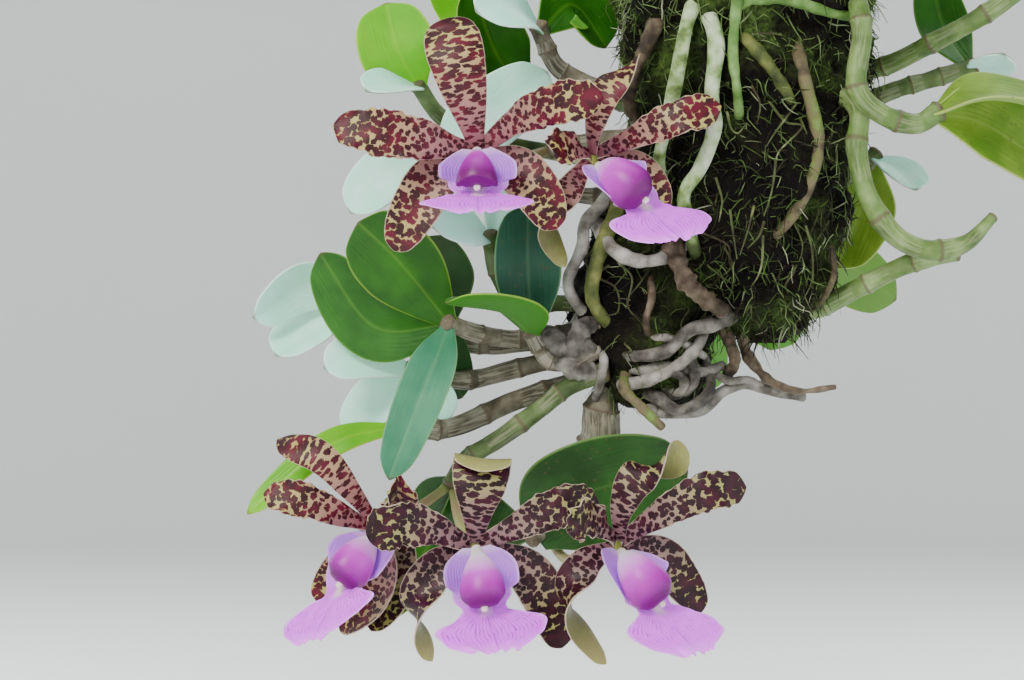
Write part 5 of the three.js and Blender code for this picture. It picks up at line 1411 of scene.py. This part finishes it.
def leaf_finish(look):
    """Waxy skin, pale midrib, pale margin partly painted light, fine veins, small pits, dry brown tip."""
    front, vein, back, margin = LEAF_LOOKS[look]
    made, tree, inputs = finish(f"leaf_{look}", 0.36 if look in GLOSSY else 0.55, Specular_IOR_Level=0.28)
    share = add(tree, "ShaderNodeAttribute", attribute_name="share")["Vector"]
    share = add(tree, "ShaderNodeSeparateXYZ", {0: share})
    size = add(tree, "ShaderNodeAttribute", attribute_name="size")["Vector"]
    size = add(tree, "ShaderNodeSeparateXYZ", {0: size})
    place = add(tree, "ShaderNodeTexCoord")["Object"]
    side = add(tree, "ShaderNodeMapRange", {0: size["Z"], 1: FACES[0], 2: FACES[1]})["Result"]
    cloud = add(tree, "ShaderNodeTexNoise", {"Vector": place, "Scale": per_metre(14), "Detail": 3.0})
    tone = add(tree, "ShaderNodeMapRange", {0: cloud["Fac"], 1: 0.35, 2: 0.65})["Result"]
    links = {"Factor": tone, 6: colour(front), 7: colour(vein)}
    top = add(tree, "ShaderNodeMix", links, data_type="RGBA")[2]
    links = {"Factor": side, 6: colour(back), 7: top}
    faced = add(tree, "ShaderNodeMix", links, data_type="RGBA")[2]
    across = add(tree, "ShaderNodeMath", {0: size["Y"]}, operation="ABSOLUTE")["Value"]
    rib = add(tree, "ShaderNodeMapRange", {0: across, 1: 0.9, 2: 0.1, 3: 0.0, 4: 0.18})["Result"]
    links = {"Factor": rib, 6: faced, 7: colour(margin)}
    ribbed = add(tree, "ShaderNodeMix", links, data_type="RGBA")[2]
    # The pale margin is partly the leaf's own colour, partly painted light coming through its thin edge.
    out = add(tree, "ShaderNodeMath", {0: share["Y"]}, operation="ABSOLUTE")["Value"]
    rim = add(tree, "ShaderNodeMapRange", {0: out, 1: 0.955, 2: 0.995, 3: 0.0, 4: 0.75})["Result"]
    links = {"Factor": rim, 6: ribbed, 7: colour(margin)}
    rimmed = add(tree, "ShaderNodeMix", links, data_type="RGBA")[2]
    specks = add(tree, "ShaderNodeTexVoronoi", {"Vector": place, "Scale": per_metre(3.2)})["Distance"]
    ends = (0.13, 0.2) if look in PITTED else (0.02, 0.06)
    links = {0: specks, 1: ends[0], 2: ends[1], 3: 0.45, 4: 0.0}
    dots = add(tree, "ShaderNodeMapRange", links)["Result"]
    tip = add(tree, "ShaderNodeMapRange", {0: share["X"], 1: 0.975, 2: 1.0, 3: 0.0, 4: 0.8})["Result"]
    worn = add(tree, "ShaderNodeMath", {0: dots, 1: tip}, operation="MAXIMUM")["Value"]
    links = {"Factor": worn, 6: rimmed, 7: colour("#5a4a2c")}
    marked = add(tree, "ShaderNodeMix", links, data_type="RGBA")[2]
    tree.links.new(marked, inputs["Base Color"])
    slow = add(tree, "ShaderNodeMath", {0: size["X"], 1: 0.04}, operation="MULTIPLY")["Value"]
    lines = add(tree, "ShaderNodeCombineXYZ", {"X": slow, "Y": size["Y"]})["Vector"]
    veins = add(tree, "ShaderNodeTexNoise", {"Vector": lines, "Scale": 1.1, "Detail": 2.0})
    links = {"Height": veins["Fac"], "Distance": 0.5 * METRES, "Strength": 0.5}
    tree.links.new(add(tree, "ShaderNodeBump", links)["Normal"], inputs["Normal"])
    return made


print("looks of leaves:", ", ".join(LEAF_LOOKS))

# %% Cane and leaf pieces
cane_finishes = {look: cane_finish(look) for look in CANE_RAMPS}
leaf_finishes = [leaf_finish(look) for look in LEAF_LOOKS]
leaf_looks = list(LEAF_LOOKS)

for index, (name, cane) in enumerate(CANES.items()):
    look = cane["look"]
    radius, sheath = cane_radius(cane, index)
    relief = furrowed(index, FURROWS[look])
    line = traced(cane["path"], CANE_GRID[0])
    shape = stem(line, radius, CANE_GRID[1], relief=relief, ring=sheath, rounded=0.5)
    make_piece(f"{name}_stem", [shape], [cane_finishes[look]], [name])
    before, tip = (seen(place) for place in cane["path"][-2:])
    foot = tip - LEAF_ROOTED * unit(tip - before)
    blades = []
    for k, (kind, width, roll, places, *more) in enumerate(cane.get("leaves", [])):
        spec = {**LEAF, "roll": roll, **(more[0] if more else {})}
        way = [foot, *(seen(place) for place in places)]
        chosen, seed = leaf_looks.index(kind), (index * 0.31 + k * 0.17) % 1
        blades.append(blade(way, width, LEAF_THICKNESS, spec, LEAF_GRID, look=chosen, seed=seed))
    if blades:
        make_piece(f"{name}_leaves", blades, leaf_finishes, [name])
print("canes:", len(CANES), "triangles:", sum(v for k, v in triangle_count.items() if "cane" in k))

# %% [markdown]
# ## Sepals and petals
# The flower's three sepals and two petals are thick and waxy. Their fronts are pink at the foot and
# greenish cream towards the tip, under maroon blotches that run together; on the sepals the blotches
# are drawn out crosswise. Their backs are plain pale green. A painted image could carry the pattern,
# but cells of a Voronoi texture, laid out in millimetres along each petal, give every flower its own.

# %% Petal finishes
PETAL_GRID = (60, 22)
PETAL_THICKNESS = 1.1
SEPAL = {"base": 0.3, "peak": 0.78, "end": 0.28, "foot": 1.7, "cup": -0.12, "tip": 0.93, "ragged": 0.015}
PETAL = {
    "base": 0.34, "peak": 0.73, "end": 0.3, "foot": 1.5, "wave": 1.2, "waves": 2.6, "frill": 0.9,
    "tip": 0.93, "ragged": 0.12,
}
LOWER_SEPAL = {"base": 0.36, "peak": 0.48, "end": 0.12, "cup": 0.2, "tip": 0.95, "ragged": 0.02}
# The spacing of the blotches in millimetres, along and across.
BLOTCHES = {"dorsal": (1.6, 3.5), "petal": (2.1, 2.1), "sepal": (1.9, 2.4)}
# The blotches are maroon in the upper flowers. In the lower ones they are nearly brown and cover more,
# and the ground is darker: partly their own colour and partly painted shade, as these flowers hang in
# shade.
PETAL_TONES = {
    "maroon": {
        "cover": {"dorsal": 0.04, "petal": 0.06, "sepal": 0.05},
        "blotch": [(0.35, "#2a000b"), (0.5, "#400013"), (0.66, "#5c0220")],
        "ground": [
            (0.0, "#804854"), (0.15, "#8e5a60"), (0.4, "#9c7268"), (0.6, "#a78c68"), (0.85, "#b0a25e"),
            (1.0, "#a6965a"),
        ],
    },
    "brown": {
        "cover": {"dorsal": 0.09, "petal": 0.11, "sepal": 0.15},
        "blotch": [(0.35, "#1a0008"), (0.5, "#260110"), (0.66, "#3a031a")],
        "ground": [
            (0.0, "#7c5660"), (0.15, "#846468"), (0.4, "#8c7468"), (0.6, "#948860"), (0.85, "#9c9a56"),
            (1.0, "#98964e"),
        ],
    },
}
PETAL_BACK = [(0.0, "#705040"), (0.4, "#4f5430"), (0.8, "#656e38"), (1.0, "#a8aa60")]


def petal_finish(tone):
    """Waxy flesh, pink to greenish cream, under dark blotches with a pale margin round them."""
    made, tree, inputs = finish(f"waxy_petal_{tone}", 0.42, Specular_IOR_Level=0.3)
    share = add(tree, "ShaderNodeAttribute", attribute_name="share")["Vector"]
    share = add(tree, "ShaderNodeSeparateXYZ", {0: share})
    size = add(tree, "ShaderNodeAttribute", attribute_name="size")["Vector"]
    size = add(tree, "ShaderNodeSeparateXYZ", {0: size})
    spots = add(tree, "ShaderNodeAttribute", attribute_name="spots")["Vector"]
    cover = add(tree, "ShaderNodeSeparateXYZ", {0: spots})["Z"]
    side = add(tree, "ShaderNodeMapRange", {0: size["Z"], 1: FACES[0], 2: FACES[1]})["Result"]
    # A noise pushes the cells about, so that the blotches get crooked edges.
    warp = add(tree, "ShaderNodeTexNoise", {"Vector": spots, "Scale": 1.3, "Detail": 3.0})["Color"]
    links = {0: warp, 1: (0.5, 0.5, 0.5)}
    warp = add(tree, "ShaderNodeVectorMath", links, operation="SUBTRACT")["Vector"]
    links = {0: warp, 1: (1.1, 1.1, 0.0), 2: spots}
    warped = add(tree, "ShaderNodeVectorMath", links, operation="MULTIPLY_ADD")["Vector"]
    links = {"Vector": warped, "Scale": 1.0}
    cells = add(tree, "ShaderNodeTexVoronoi", links, voronoi_dimensions="2D")
    own = add(tree, "ShaderNodeSeparateXYZ", {0: cells["Color"]})["X"]
    own = add(tree, "ShaderNodeMapRange", {0: own, 3: -0.16, 4: 0.08})["Result"]
    stops = [(0.0, 0.34), (0.2, 0.38), (0.5, 0.48), (0.8, 0.58), (1.0, 0.64)]
    grown = add(tree, "ShaderNodeValToRGB", {0: share["X"]}, stops)["Color"]
    slow = add(tree, "ShaderNodeTexNoise", {"Vector": spots, "Scale": 0.35, "Detail": 1.0})["Fac"]
    drift = add(tree, "ShaderNodeMapRange", {0: slow, 1: 0.3, 2: 0.7, 3: -0.06, 4: 0.06})["Result"]
    drift = add(tree, "ShaderNodeMath", {0: drift, 1: own}, operation="ADD")["Value"]
    limit = add(tree, "ShaderNodeMath", {0: grown, 1: cover}, operation="ADD")["Value"]
    limit = add(tree, "ShaderNodeMath", {0: limit, 1: drift}, operation="ADD")["Value"]
    over = add(tree, "ShaderNodeMath", {0: limit, 1: cells["Distance"]}, operation="SUBTRACT")["Value"]
    blotch = add(tree, "ShaderNodeMapRange", {0: over, 1: -0.02, 2: 0.04})["Result"]
    ground = add(tree, "ShaderNodeValToRGB", {0: share["X"]}, PETAL_TONES[tone]["ground"])["Color"]
    maroon = add(tree, "ShaderNodeValToRGB", {0: slow}, PETAL_TONES[tone]["blotch"])["Color"]
    front = add(tree, "ShaderNodeMix", {0: blotch, 6: ground, 7: maroon}, data_type="RGBA")[2]
    pale = add(tree, "ShaderNodeValToRGB", {0: share["X"]}, PETAL_BACK)["Color"]
    faint = add(tree, "ShaderNodeMath", {0: blotch, 1: 0.22}, operation="MULTIPLY")["Value"]
    links = {0: faint, 6: pale, 7: colour("#6d5142")}
    behind = add(tree, "ShaderNodeMix", links, data_type="RGBA")[2]
    faced = add(tree, "ShaderNodeMix", {0: side, 6: behind, 7: front}, data_type="RGBA")[2]
    out = add(tree, "ShaderNodeMath", {0: share["Y"]}, operation="ABSOLUTE")["Value"]
    rim = add(tree, "ShaderNodeMapRange", {0: out, 1: 0.96, 2: 0.995, 3: 0.0, 4: 0.8})["Result"]
    links = {0: rim, 6: faced, 7: colour("#c9b8a0")}
    rimmed = add(tree, "ShaderNodeMix", links, data_type="RGBA")[2]
    tree.links.new(rimmed, inputs["Base Color"])
    grain = add(tree, "ShaderNodeTexNoise", {"Vector": spots, "Scale": 3.0, "Detail": 3.0})
    links = {"Height": grain["Fac"], "Distance": 0.25 * METRES, "Strength": 0.6}
    tree.links.new(add(tree, "ShaderNodeBump", links)["Normal"], inputs["Normal"])
    return made


def stalk_finish():
    """Smooth green-brown skin, yellower at the foot."""
    made, tree, inputs = finish("flower_stalk", 0.5)
    share = add(tree, "ShaderNodeAttribute", attribute_name="share")["Vector"]
    share = add(tree, "ShaderNodeSeparateXYZ", {0: share})
    stops = [(0.0, "#a8b050"), (0.25, "#9aa05a"), (0.7, "#8b7a55"), (1.0, "#7f8a48")]
    tint = add(tree, "ShaderNodeValToRGB", {0: share["X"]}, stops)
    tree.links.new(tint["Color"], inputs["Base Color"])
    return made


print("tones of petals:", ", ".join(PETAL_TONES))

# %% [markdown]
# ## Lip and column
# The lip is the flower's third petal: two lavender lobes stand up beside the column, and below a
# narrow neck it spreads into a mauve fan with darker veins and a crimped edge. The column, which holds
# the pollen under a small pale cap, is a glossy drop, white above and deep violet-pink below.

# %% Lip shapes and finishes
LIP_GRID = (110, 64)
LIP_THICKNESS = 0.8
TEETH = {"reach": 0.9, "crimp": 1.0, "notch": 1.4}


def lip_width(lobes, neck, fan):
    """A smooth line through marks: two rounded side lobes, a narrow neck and a broad fan."""
    at, wide = np.array([
        (0, 0.36 * lobes), (0.1, 0.66 * lobes), (0.22, 0.9 * lobes), (0.34, lobes), (0.46, 0.97 * lobes),
        (0.56, 0.8 * lobes), (0.64, 1.4 * neck), (0.7, 1.08 * neck), (0.74, 1.15 * neck),
        (0.79, 0.66 * fan), (0.85, 0.95 * fan), (0.9, fan), (0.96, 0.84 * fan), (1, 0.5 * fan),
    ]).T
    mark = np.arange(len(at))
    before, after = np.maximum(mark - 1, 0), np.minimum(mark + 1, len(at) - 1)
    slope = (wide[after] - wide[before]) / (at[after] - at[before])

    def width_at(u):
        k = np.clip(np.searchsorted(at, u, side="right") - 1, 0, len(at) - 2)
        span = at[k + 1] - at[k]
        t = (u - at[k]) / span
        hold = (1 + 2 * t) * (1 - t) ** 2
        bend = t * (1 - t) ** 2 * slope[k] - t**2 * (1 - t) * slope[k + 1]
        return (hold * wide[k] + (1 - hold) * wide[k + 1] + span * bend) / fan

    return width_at


def lobe_cup(u):
    return 0.38 * (1 - smooth(u, 0.42, 0.68))


def lip_bow(u):
    """How far the fan's sides sweep back along the lip, by the half width."""
    return 0.02 + 0.24 * smooth(u, 0.45, 0.74)


def crimped(seed):
    """The fan's edge drawn out in small teeth and lifted in ruffles, with a notch at its middle."""
    rng = np.random.default_rng(seed)

    def edge(points, u, v, along, out, side):
        round_fan = np.arctan2(v * smooth(u, 0.68, 0.92), np.maximum(u - 0.68, 0.001) * 2.6)
        teeth = waves(round_fan, (17, 29, 43), rng)
        ruffle = waves(round_fan, (7, 11, 16), rng)
        rim = np.maximum(smooth(np.abs(v), 0.75, 1) * smooth(u, 0.66, 0.8), smooth(u, 0.9, 1))
        lobes = smooth(np.abs(v), 0.7, 1) * (1 - smooth(u, 0.45, 0.6)) * waves(9 * u + v, (1, 2.3), rng)
        notch = smooth(u, 0.88, 1) * np.exp(-((v / 0.12) ** 2))
        push = TEETH["reach"] * teeth * smooth(u, 0.93, 1) - TEETH["notch"] * notch
        points = points + along[:, None] * push[..., None]
        wide = TEETH["reach"] * teeth * smooth(np.abs(v), 0.85, 1) * smooth(u, 0.66, 0.8)
        points = points + side[:, None] * (wide * np.sign(v))[..., None]
        lift = TEETH["crimp"] * (ruffle * rim + 0.5 * lobes)
        return points + out[:, None] * lift[..., None]

    return edge


# Where the column is widest, how far its lower end arches in millimetres, and how pale its top is.
COLUMN = {"widest": 0.84, "power": 1.9, "arch": 0.5, "pale": 1.0}
COLUMNS = {
    "upper_left": {"widest": 0.92, "power": 1.3, "arch": 2.6, "pale": 0.0},
    "upper_right": {"power": 1.7, "pale": 0.75},
}


def column_radius(radius, form):
    def at(u):
        grown = np.minimum(u / form["widest"], 1)
        past = np.maximum(u - form["widest"], 0) / (1 - form["widest"])
        return radius * ((0.22 + 0.78 * np.sin(np.pi / 2 * grown) ** form["power"]) - 0.3 * past**2)

    return at


def arched(drop, ahead, radius, arch):
    """The column's lower end drawn up at its middle, which leaves a blunt corner at each side."""
    share, aside = drop["share"][:, 0], np.abs(drop["size"][:, 1]) / radius
    lift = arch * smooth(share, 0.6, 1) * (1 - np.minimum(aside, 1) ** 2)
    drop["points"] -= ahead * lift[:, None]
    return drop


LIP_RAMP = [
    (0.0, "#e2c8f0"), (0.12, "#c182ee"), (0.4, "#b06ae6"), (0.58, "#cc86f0"), (0.72, "#e65cf4"),
    (0.93, "#e248f6"), (1.0, "#f080fa"),
]
COLUMN_RAMP = [
    (0.0, "#f8f8e4"), (0.32, "#fdf6fd"), (0.48, "#e8acf2"), (0.62, "#ca3cd0"), (0.76, "#ac0aae"),
    (0.9, "#860488"), (1.0, "#680064"),
]
VEIN_WAVES = 78.0


def lip_finish():
    """Thin lavender and mauve tissue, with a painted glow and darker veins running out over the fan."""
    made, tree, inputs = finish("mauve_lip", 0.5, Specular_IOR_Level=0.25)
    share = add(tree, "ShaderNodeAttribute", attribute_name="share")["Vector"]
    share = add(tree, "ShaderNodeSeparateXYZ", {0: share})
    size = add(tree, "ShaderNodeAttribute", attribute_name="size")["Vector"]
    size = add(tree, "ShaderNodeSeparateXYZ", {0: size})
    ground = add(tree, "ShaderNodeValToRGB", {0: share["X"]}, LIP_RAMP)["Color"]
    out = add(tree, "ShaderNodeMath", {0: share["Y"]}, operation="ABSOLUTE")["Value"]
    # The veins are waves across the lip that sway a little, and break up where the noise is low.
    wobble = add(tree, "ShaderNodeCombineXYZ", {"X": size["X"], "Y": size["Y"], "Z": share["Z"]})
    cloud = add(tree, "ShaderNodeTexNoise", {"Vector": wobble["Vector"], "Scale": 0.3, "Detail": 3.0})
    links = {0: cloud["Fac"], 1: 0.17, 2: share["Y"]}
    swayed = add(tree, "ShaderNodeMath", links, operation="MULTIPLY_ADD")["Value"]
    times = add(tree, "ShaderNodeMath", {0: swayed, 1: VEIN_WAVES}, operation="MULTIPLY")["Value"]
    ripple = add(tree, "ShaderNodeMath", {0: times}, operation="SINE")["Value"]
    line = add(tree, "ShaderNodeMapRange", {0: ripple, 1: 0.1, 2: 1.0})["Result"]
    stops = [(0.05, 0.08), (0.5, 0.16), (0.7, 0.8), (0.9, 0.7), (1.0, 0.2)]
    depth = add(tree, "ShaderNodeValToRGB", {0: share["X"]}, stops)["Color"]
    broken = add(tree, "ShaderNodeMapRange", {0: cloud["Fac"], 1: 0.34, 2: 0.62})["Result"]
    vein = add(tree, "ShaderNodeMath", {0: line, 1: depth}, operation="MULTIPLY")["Value"]
    vein = add(tree, "ShaderNodeMath", {0: vein, 1: broken}, operation="MULTIPLY")["Value"]
    links = {0: vein, 6: ground, 7: colour("#940c9c")}
    veined = add(tree, "ShaderNodeMix", links, data_type="RGBA")[2]
    middle = add(tree, "ShaderNodeMapRange", {0: out, 1: 0.06, 2: 0.0, 3: 0.0, 4: 0.5})["Result"]
    low = add(tree, "ShaderNodeMapRange", {0: share["X"], 1: 0.7, 2: 0.78})["Result"]
    ridge = add(tree, "ShaderNodeMath", {0: middle, 1: low}, operation="MULTIPLY")["Value"]
    ridged = add(tree, "ShaderNodeMix", {0: ridge, 6: veined, 7: colour("#8f24a8")}, data_type="RGBA")[2]
    # A cream spot lies at the middle of the neck.
    away = add(tree, "ShaderNodeMath", {0: share["X"], 1: 0.68}, operation="SUBTRACT")["Value"]
    away = add(tree, "ShaderNodeMath", {0: away}, operation="ABSOLUTE")["Value"]
    near = add(tree, "ShaderNodeMapRange", {0: away, 1: 0.09, 2: 0.04})["Result"]
    centre = add(tree, "ShaderNodeMapRange", {0: out, 1: 0.38, 2: 0.1})["Result"]
    spot = add(tree, "ShaderNodeMath", {0: near, 1: centre}, operation="MULTIPLY")["Value"]
    creamed = add(tree, "ShaderNodeMix", {0: spot, 6: ridged, 7: colour("#f3ecc8")}, data_type="RGBA")[2]
    rim = add(tree, "ShaderNodeMapRange", {0: out, 1: 0.92, 2: 1.0, 3: 0.0, 4: 0.5})["Result"]
    rimmed = add(tree, "ShaderNodeMix", {0: rim, 6: creamed, 7: colour("#ecd0f4")}, data_type="RGBA")[2]
    tree.links.new(rimmed, inputs["Base Color"])
    # Painted glow: the fan is thin, and emission paints a little of the light behind it coming through.
    through = add(tree, "ShaderNodeMapRange", {0: share["X"], 1: 0.6, 2: 0.8, 3: 0.03, 4: 0.6})["Result"]
    clear = add(tree, "ShaderNodeMapRange", {0: vein, 3: 1.0, 4: 0.2})["Result"]
    through = add(tree, "ShaderNodeMath", {0: through, 1: clear}, operation="MULTIPLY")["Value"]
    tree.links.new(through, inputs["Emission Strength"])
    inputs["Emission Color"].default_value = colour("#cc50ff")
    links = {"Height": ripple, "Distance": 0.12 * METRES, "Strength": 0.5}
    tree.links.new(add(tree, "ShaderNodeBump", links)["Normal"], inputs["Normal"])
    return made


def column_finish():
    """A wet-looking drop, white above and deep violet-pink below."""
    made, tree, inputs = finish("glossy_column", 0.4, Specular_IOR_Level=0.4)
    share = add(tree, "ShaderNodeAttribute", attribute_name="share")["Vector"]
    share = add(tree, "ShaderNodeSeparateXYZ", {0: share})
    # The third share says how pale the top is: it moves the colours down the column.
    shift = add(tree, "ShaderNodeMapRange", {0: share["Z"], 3: 0.3, 4: 0.0})["Result"]
    along = add(tree, "ShaderNodeMath", {0: share["X"], 1: shift}, operation="ADD")["Value"]
    tint = add(tree, "ShaderNodeValToRGB", {0: along}, COLUMN_RAMP)
    tree.links.new(tint["Color"], inputs["Base Color"])
    return made


def cap_finish():
    """A small matt cream cap."""
    made, _, inputs = finish("pollen_cap", 0.45)
    inputs["Base Color"].default_value = colour("#f2e8dc")
    return made


print("millimetres across the lips' lobes:", [flower["lip"]["lobes"] for flower in FLOWERS.values()])

# %% Flower pieces
PARTS = [
    ("dorsal", SEPAL, "dorsal"),
    ("petal_left", PETAL, "petal"),
    ("petal_right", PETAL, "petal"),
    ("sepal_left", LOWER_SEPAL, "sepal"),
    ("sepal_right", LOWER_SEPAL, "sepal"),
]
# The lower flowers take the brown tone, which is partly painted shade.
FLOWER_TONES = {"lower_middle": "brown", "lower_right": "brown"}
# One more narrow brown blade hangs from the lower left flower's stalk.
SPARE_BLADES = {
    "lower_left": {
        **LOWER_SEPAL, "path": [(410, 514, -13), (405, 548, -15), (396, 592, -19), (371, 631, -22)],
        "width": 14, "peak": 0.62, "foot": 3, "roll": 24,
    },
}
STALK = {"points": 40, "sides": 16, "radius": 1.7, "foot": 1.3, "head": 0.9}
HUB = {"radius": 3.2, "reach": 0.92, "rows": 9, "sides": 20}
CAP = {"radius": 1.4, "narrowing": 0.3, "start": -1, "end": 2.6, "rows": 8, "sides": 18}
COLUMN_GRID = (48, 32)
petal_tones = {tone: petal_finish(tone) for tone in PETAL_TONES}
stalk_look = stalk_finish()
lip_look, column_look, cap_look = lip_finish(), column_finish(), cap_finish()


def hub(centre):
    """A small ball that the blades spring from, drawn as a short stem."""
    reach = HUB["reach"]
    share = np.linspace(-reach, reach, HUB["rows"])
    line = seen(centre) + np.array([0, 1, 0]) * (HUB["radius"] * share)[:, None]

    def round_off(u):
        return HUB["radius"] * np.sqrt(1 - (2 * reach * u - reach) ** 2)

    return stem(line, round_off, HUB["sides"], rounded=0.2)


def petal_blade(places, width, spec, dots, cover, seed, look=0):
    way, spots = [seen(place) for place in places], (*BLOTCHES[dots], cover)
    return blade(way, width, PETAL_THICKNESS, spec, PETAL_GRID, look=look, seed=seed, spots=spots)


def column_shapes(name, path, radius):
    form = {**COLUMN, **COLUMNS.get(name, {})}
    points, sides = COLUMN_GRID
    line = traced(path, points)
    drop = stem(line, column_radius(radius, form), sides, flat=0.8, seed=form["pale"], rounded=0.3)
    ahead = unit(line[-1] - line[-6])
    along = np.linspace(CAP["start"] - form["arch"], CAP["end"] - form["arch"], CAP["rows"])
    tip = line[-1] + ahead * along[:, None]
    cap = stem(tip, lambda u: CAP["radius"] - CAP["narrowing"] * u, CAP["sides"], flat=0.75, look=1)
    return [arched(drop, ahead, radius, form["arch"]), cap]


for index, (name, flower) in enumerate(FLOWERS.items()):
    tone = FLOWER_TONES.get(name, "maroon")
    shapes = []
    for k, (part, kind, dots) in enumerate(PARTS):
        width, roll, places, *more = flower[part]
        spec = {**kind, "roll": roll, **(more[0] if more else {})}
        cover, seed = PETAL_TONES[tone]["cover"][dots], (index * 0.19 + k * 0.077) % 1
        shapes.append(petal_blade(places, width, spec, dots, cover, seed))
    if name in SPARE_BLADES:
        spare = SPARE_BLADES[name]
        cover = PETAL_TONES["maroon"]["cover"]["sepal"]
        shapes.append(petal_blade(spare["path"], spare["width"], spare, "sepal", cover, 0.6, look=1))
    node = f"flower_{name}_petals"
    petal_looks = [petal_tones[tone], petal_tones["brown"]]
    make_piece(f"flower_{name}_tepals", shapes, petal_looks, [node])
    width = taper(STALK["radius"], STALK["foot"], STALK["head"])
    stalk = stem(traced(flower["stalk"], STALK["points"]), width, STALK["sides"])
    make_piece(f"flower_{name}_stalk", [stalk, hub(flower["centre"])], [stalk_look], [node])
    node, lip = f"flower_{name}_lip", flower["lip"]
    width_at = lip_width(lip["lobes"], lip["neck"], lip["fan"])
    spec = {**lip, "width_at": width_at, "cup_at": lobe_cup, "bow_at": lip_bow, "crowd": 1.2}
    way, edge = [seen(place) for place in lip["path"]], crimped(index)
    tongue = blade(way, lip["fan"], LIP_THICKNESS, spec, LIP_GRID, seed=index * 0.13, edge=edge)
    make_piece(f"flower_{name}_tongue", [tongue], [lip_look], [node])
    path, radius = [lip["path"][0], *flower["column"]["path"]], flower["column"]["r"]
    shapes = column_shapes(name, path, radius)
    make_piece(f"flower_{name}_column", shapes, [column_look, cap_look], [node])
print("flowers:", len(FLOWERS), "triangles:", sum(v for k, v in triangle_count.items() if "flower" in k))

# %% [markdown]
# ## Triangles in all
# The triangles of all the pieces are counted together.

# %% Triangles in all
print("triangles in all:", sum(triangle_count.values()))
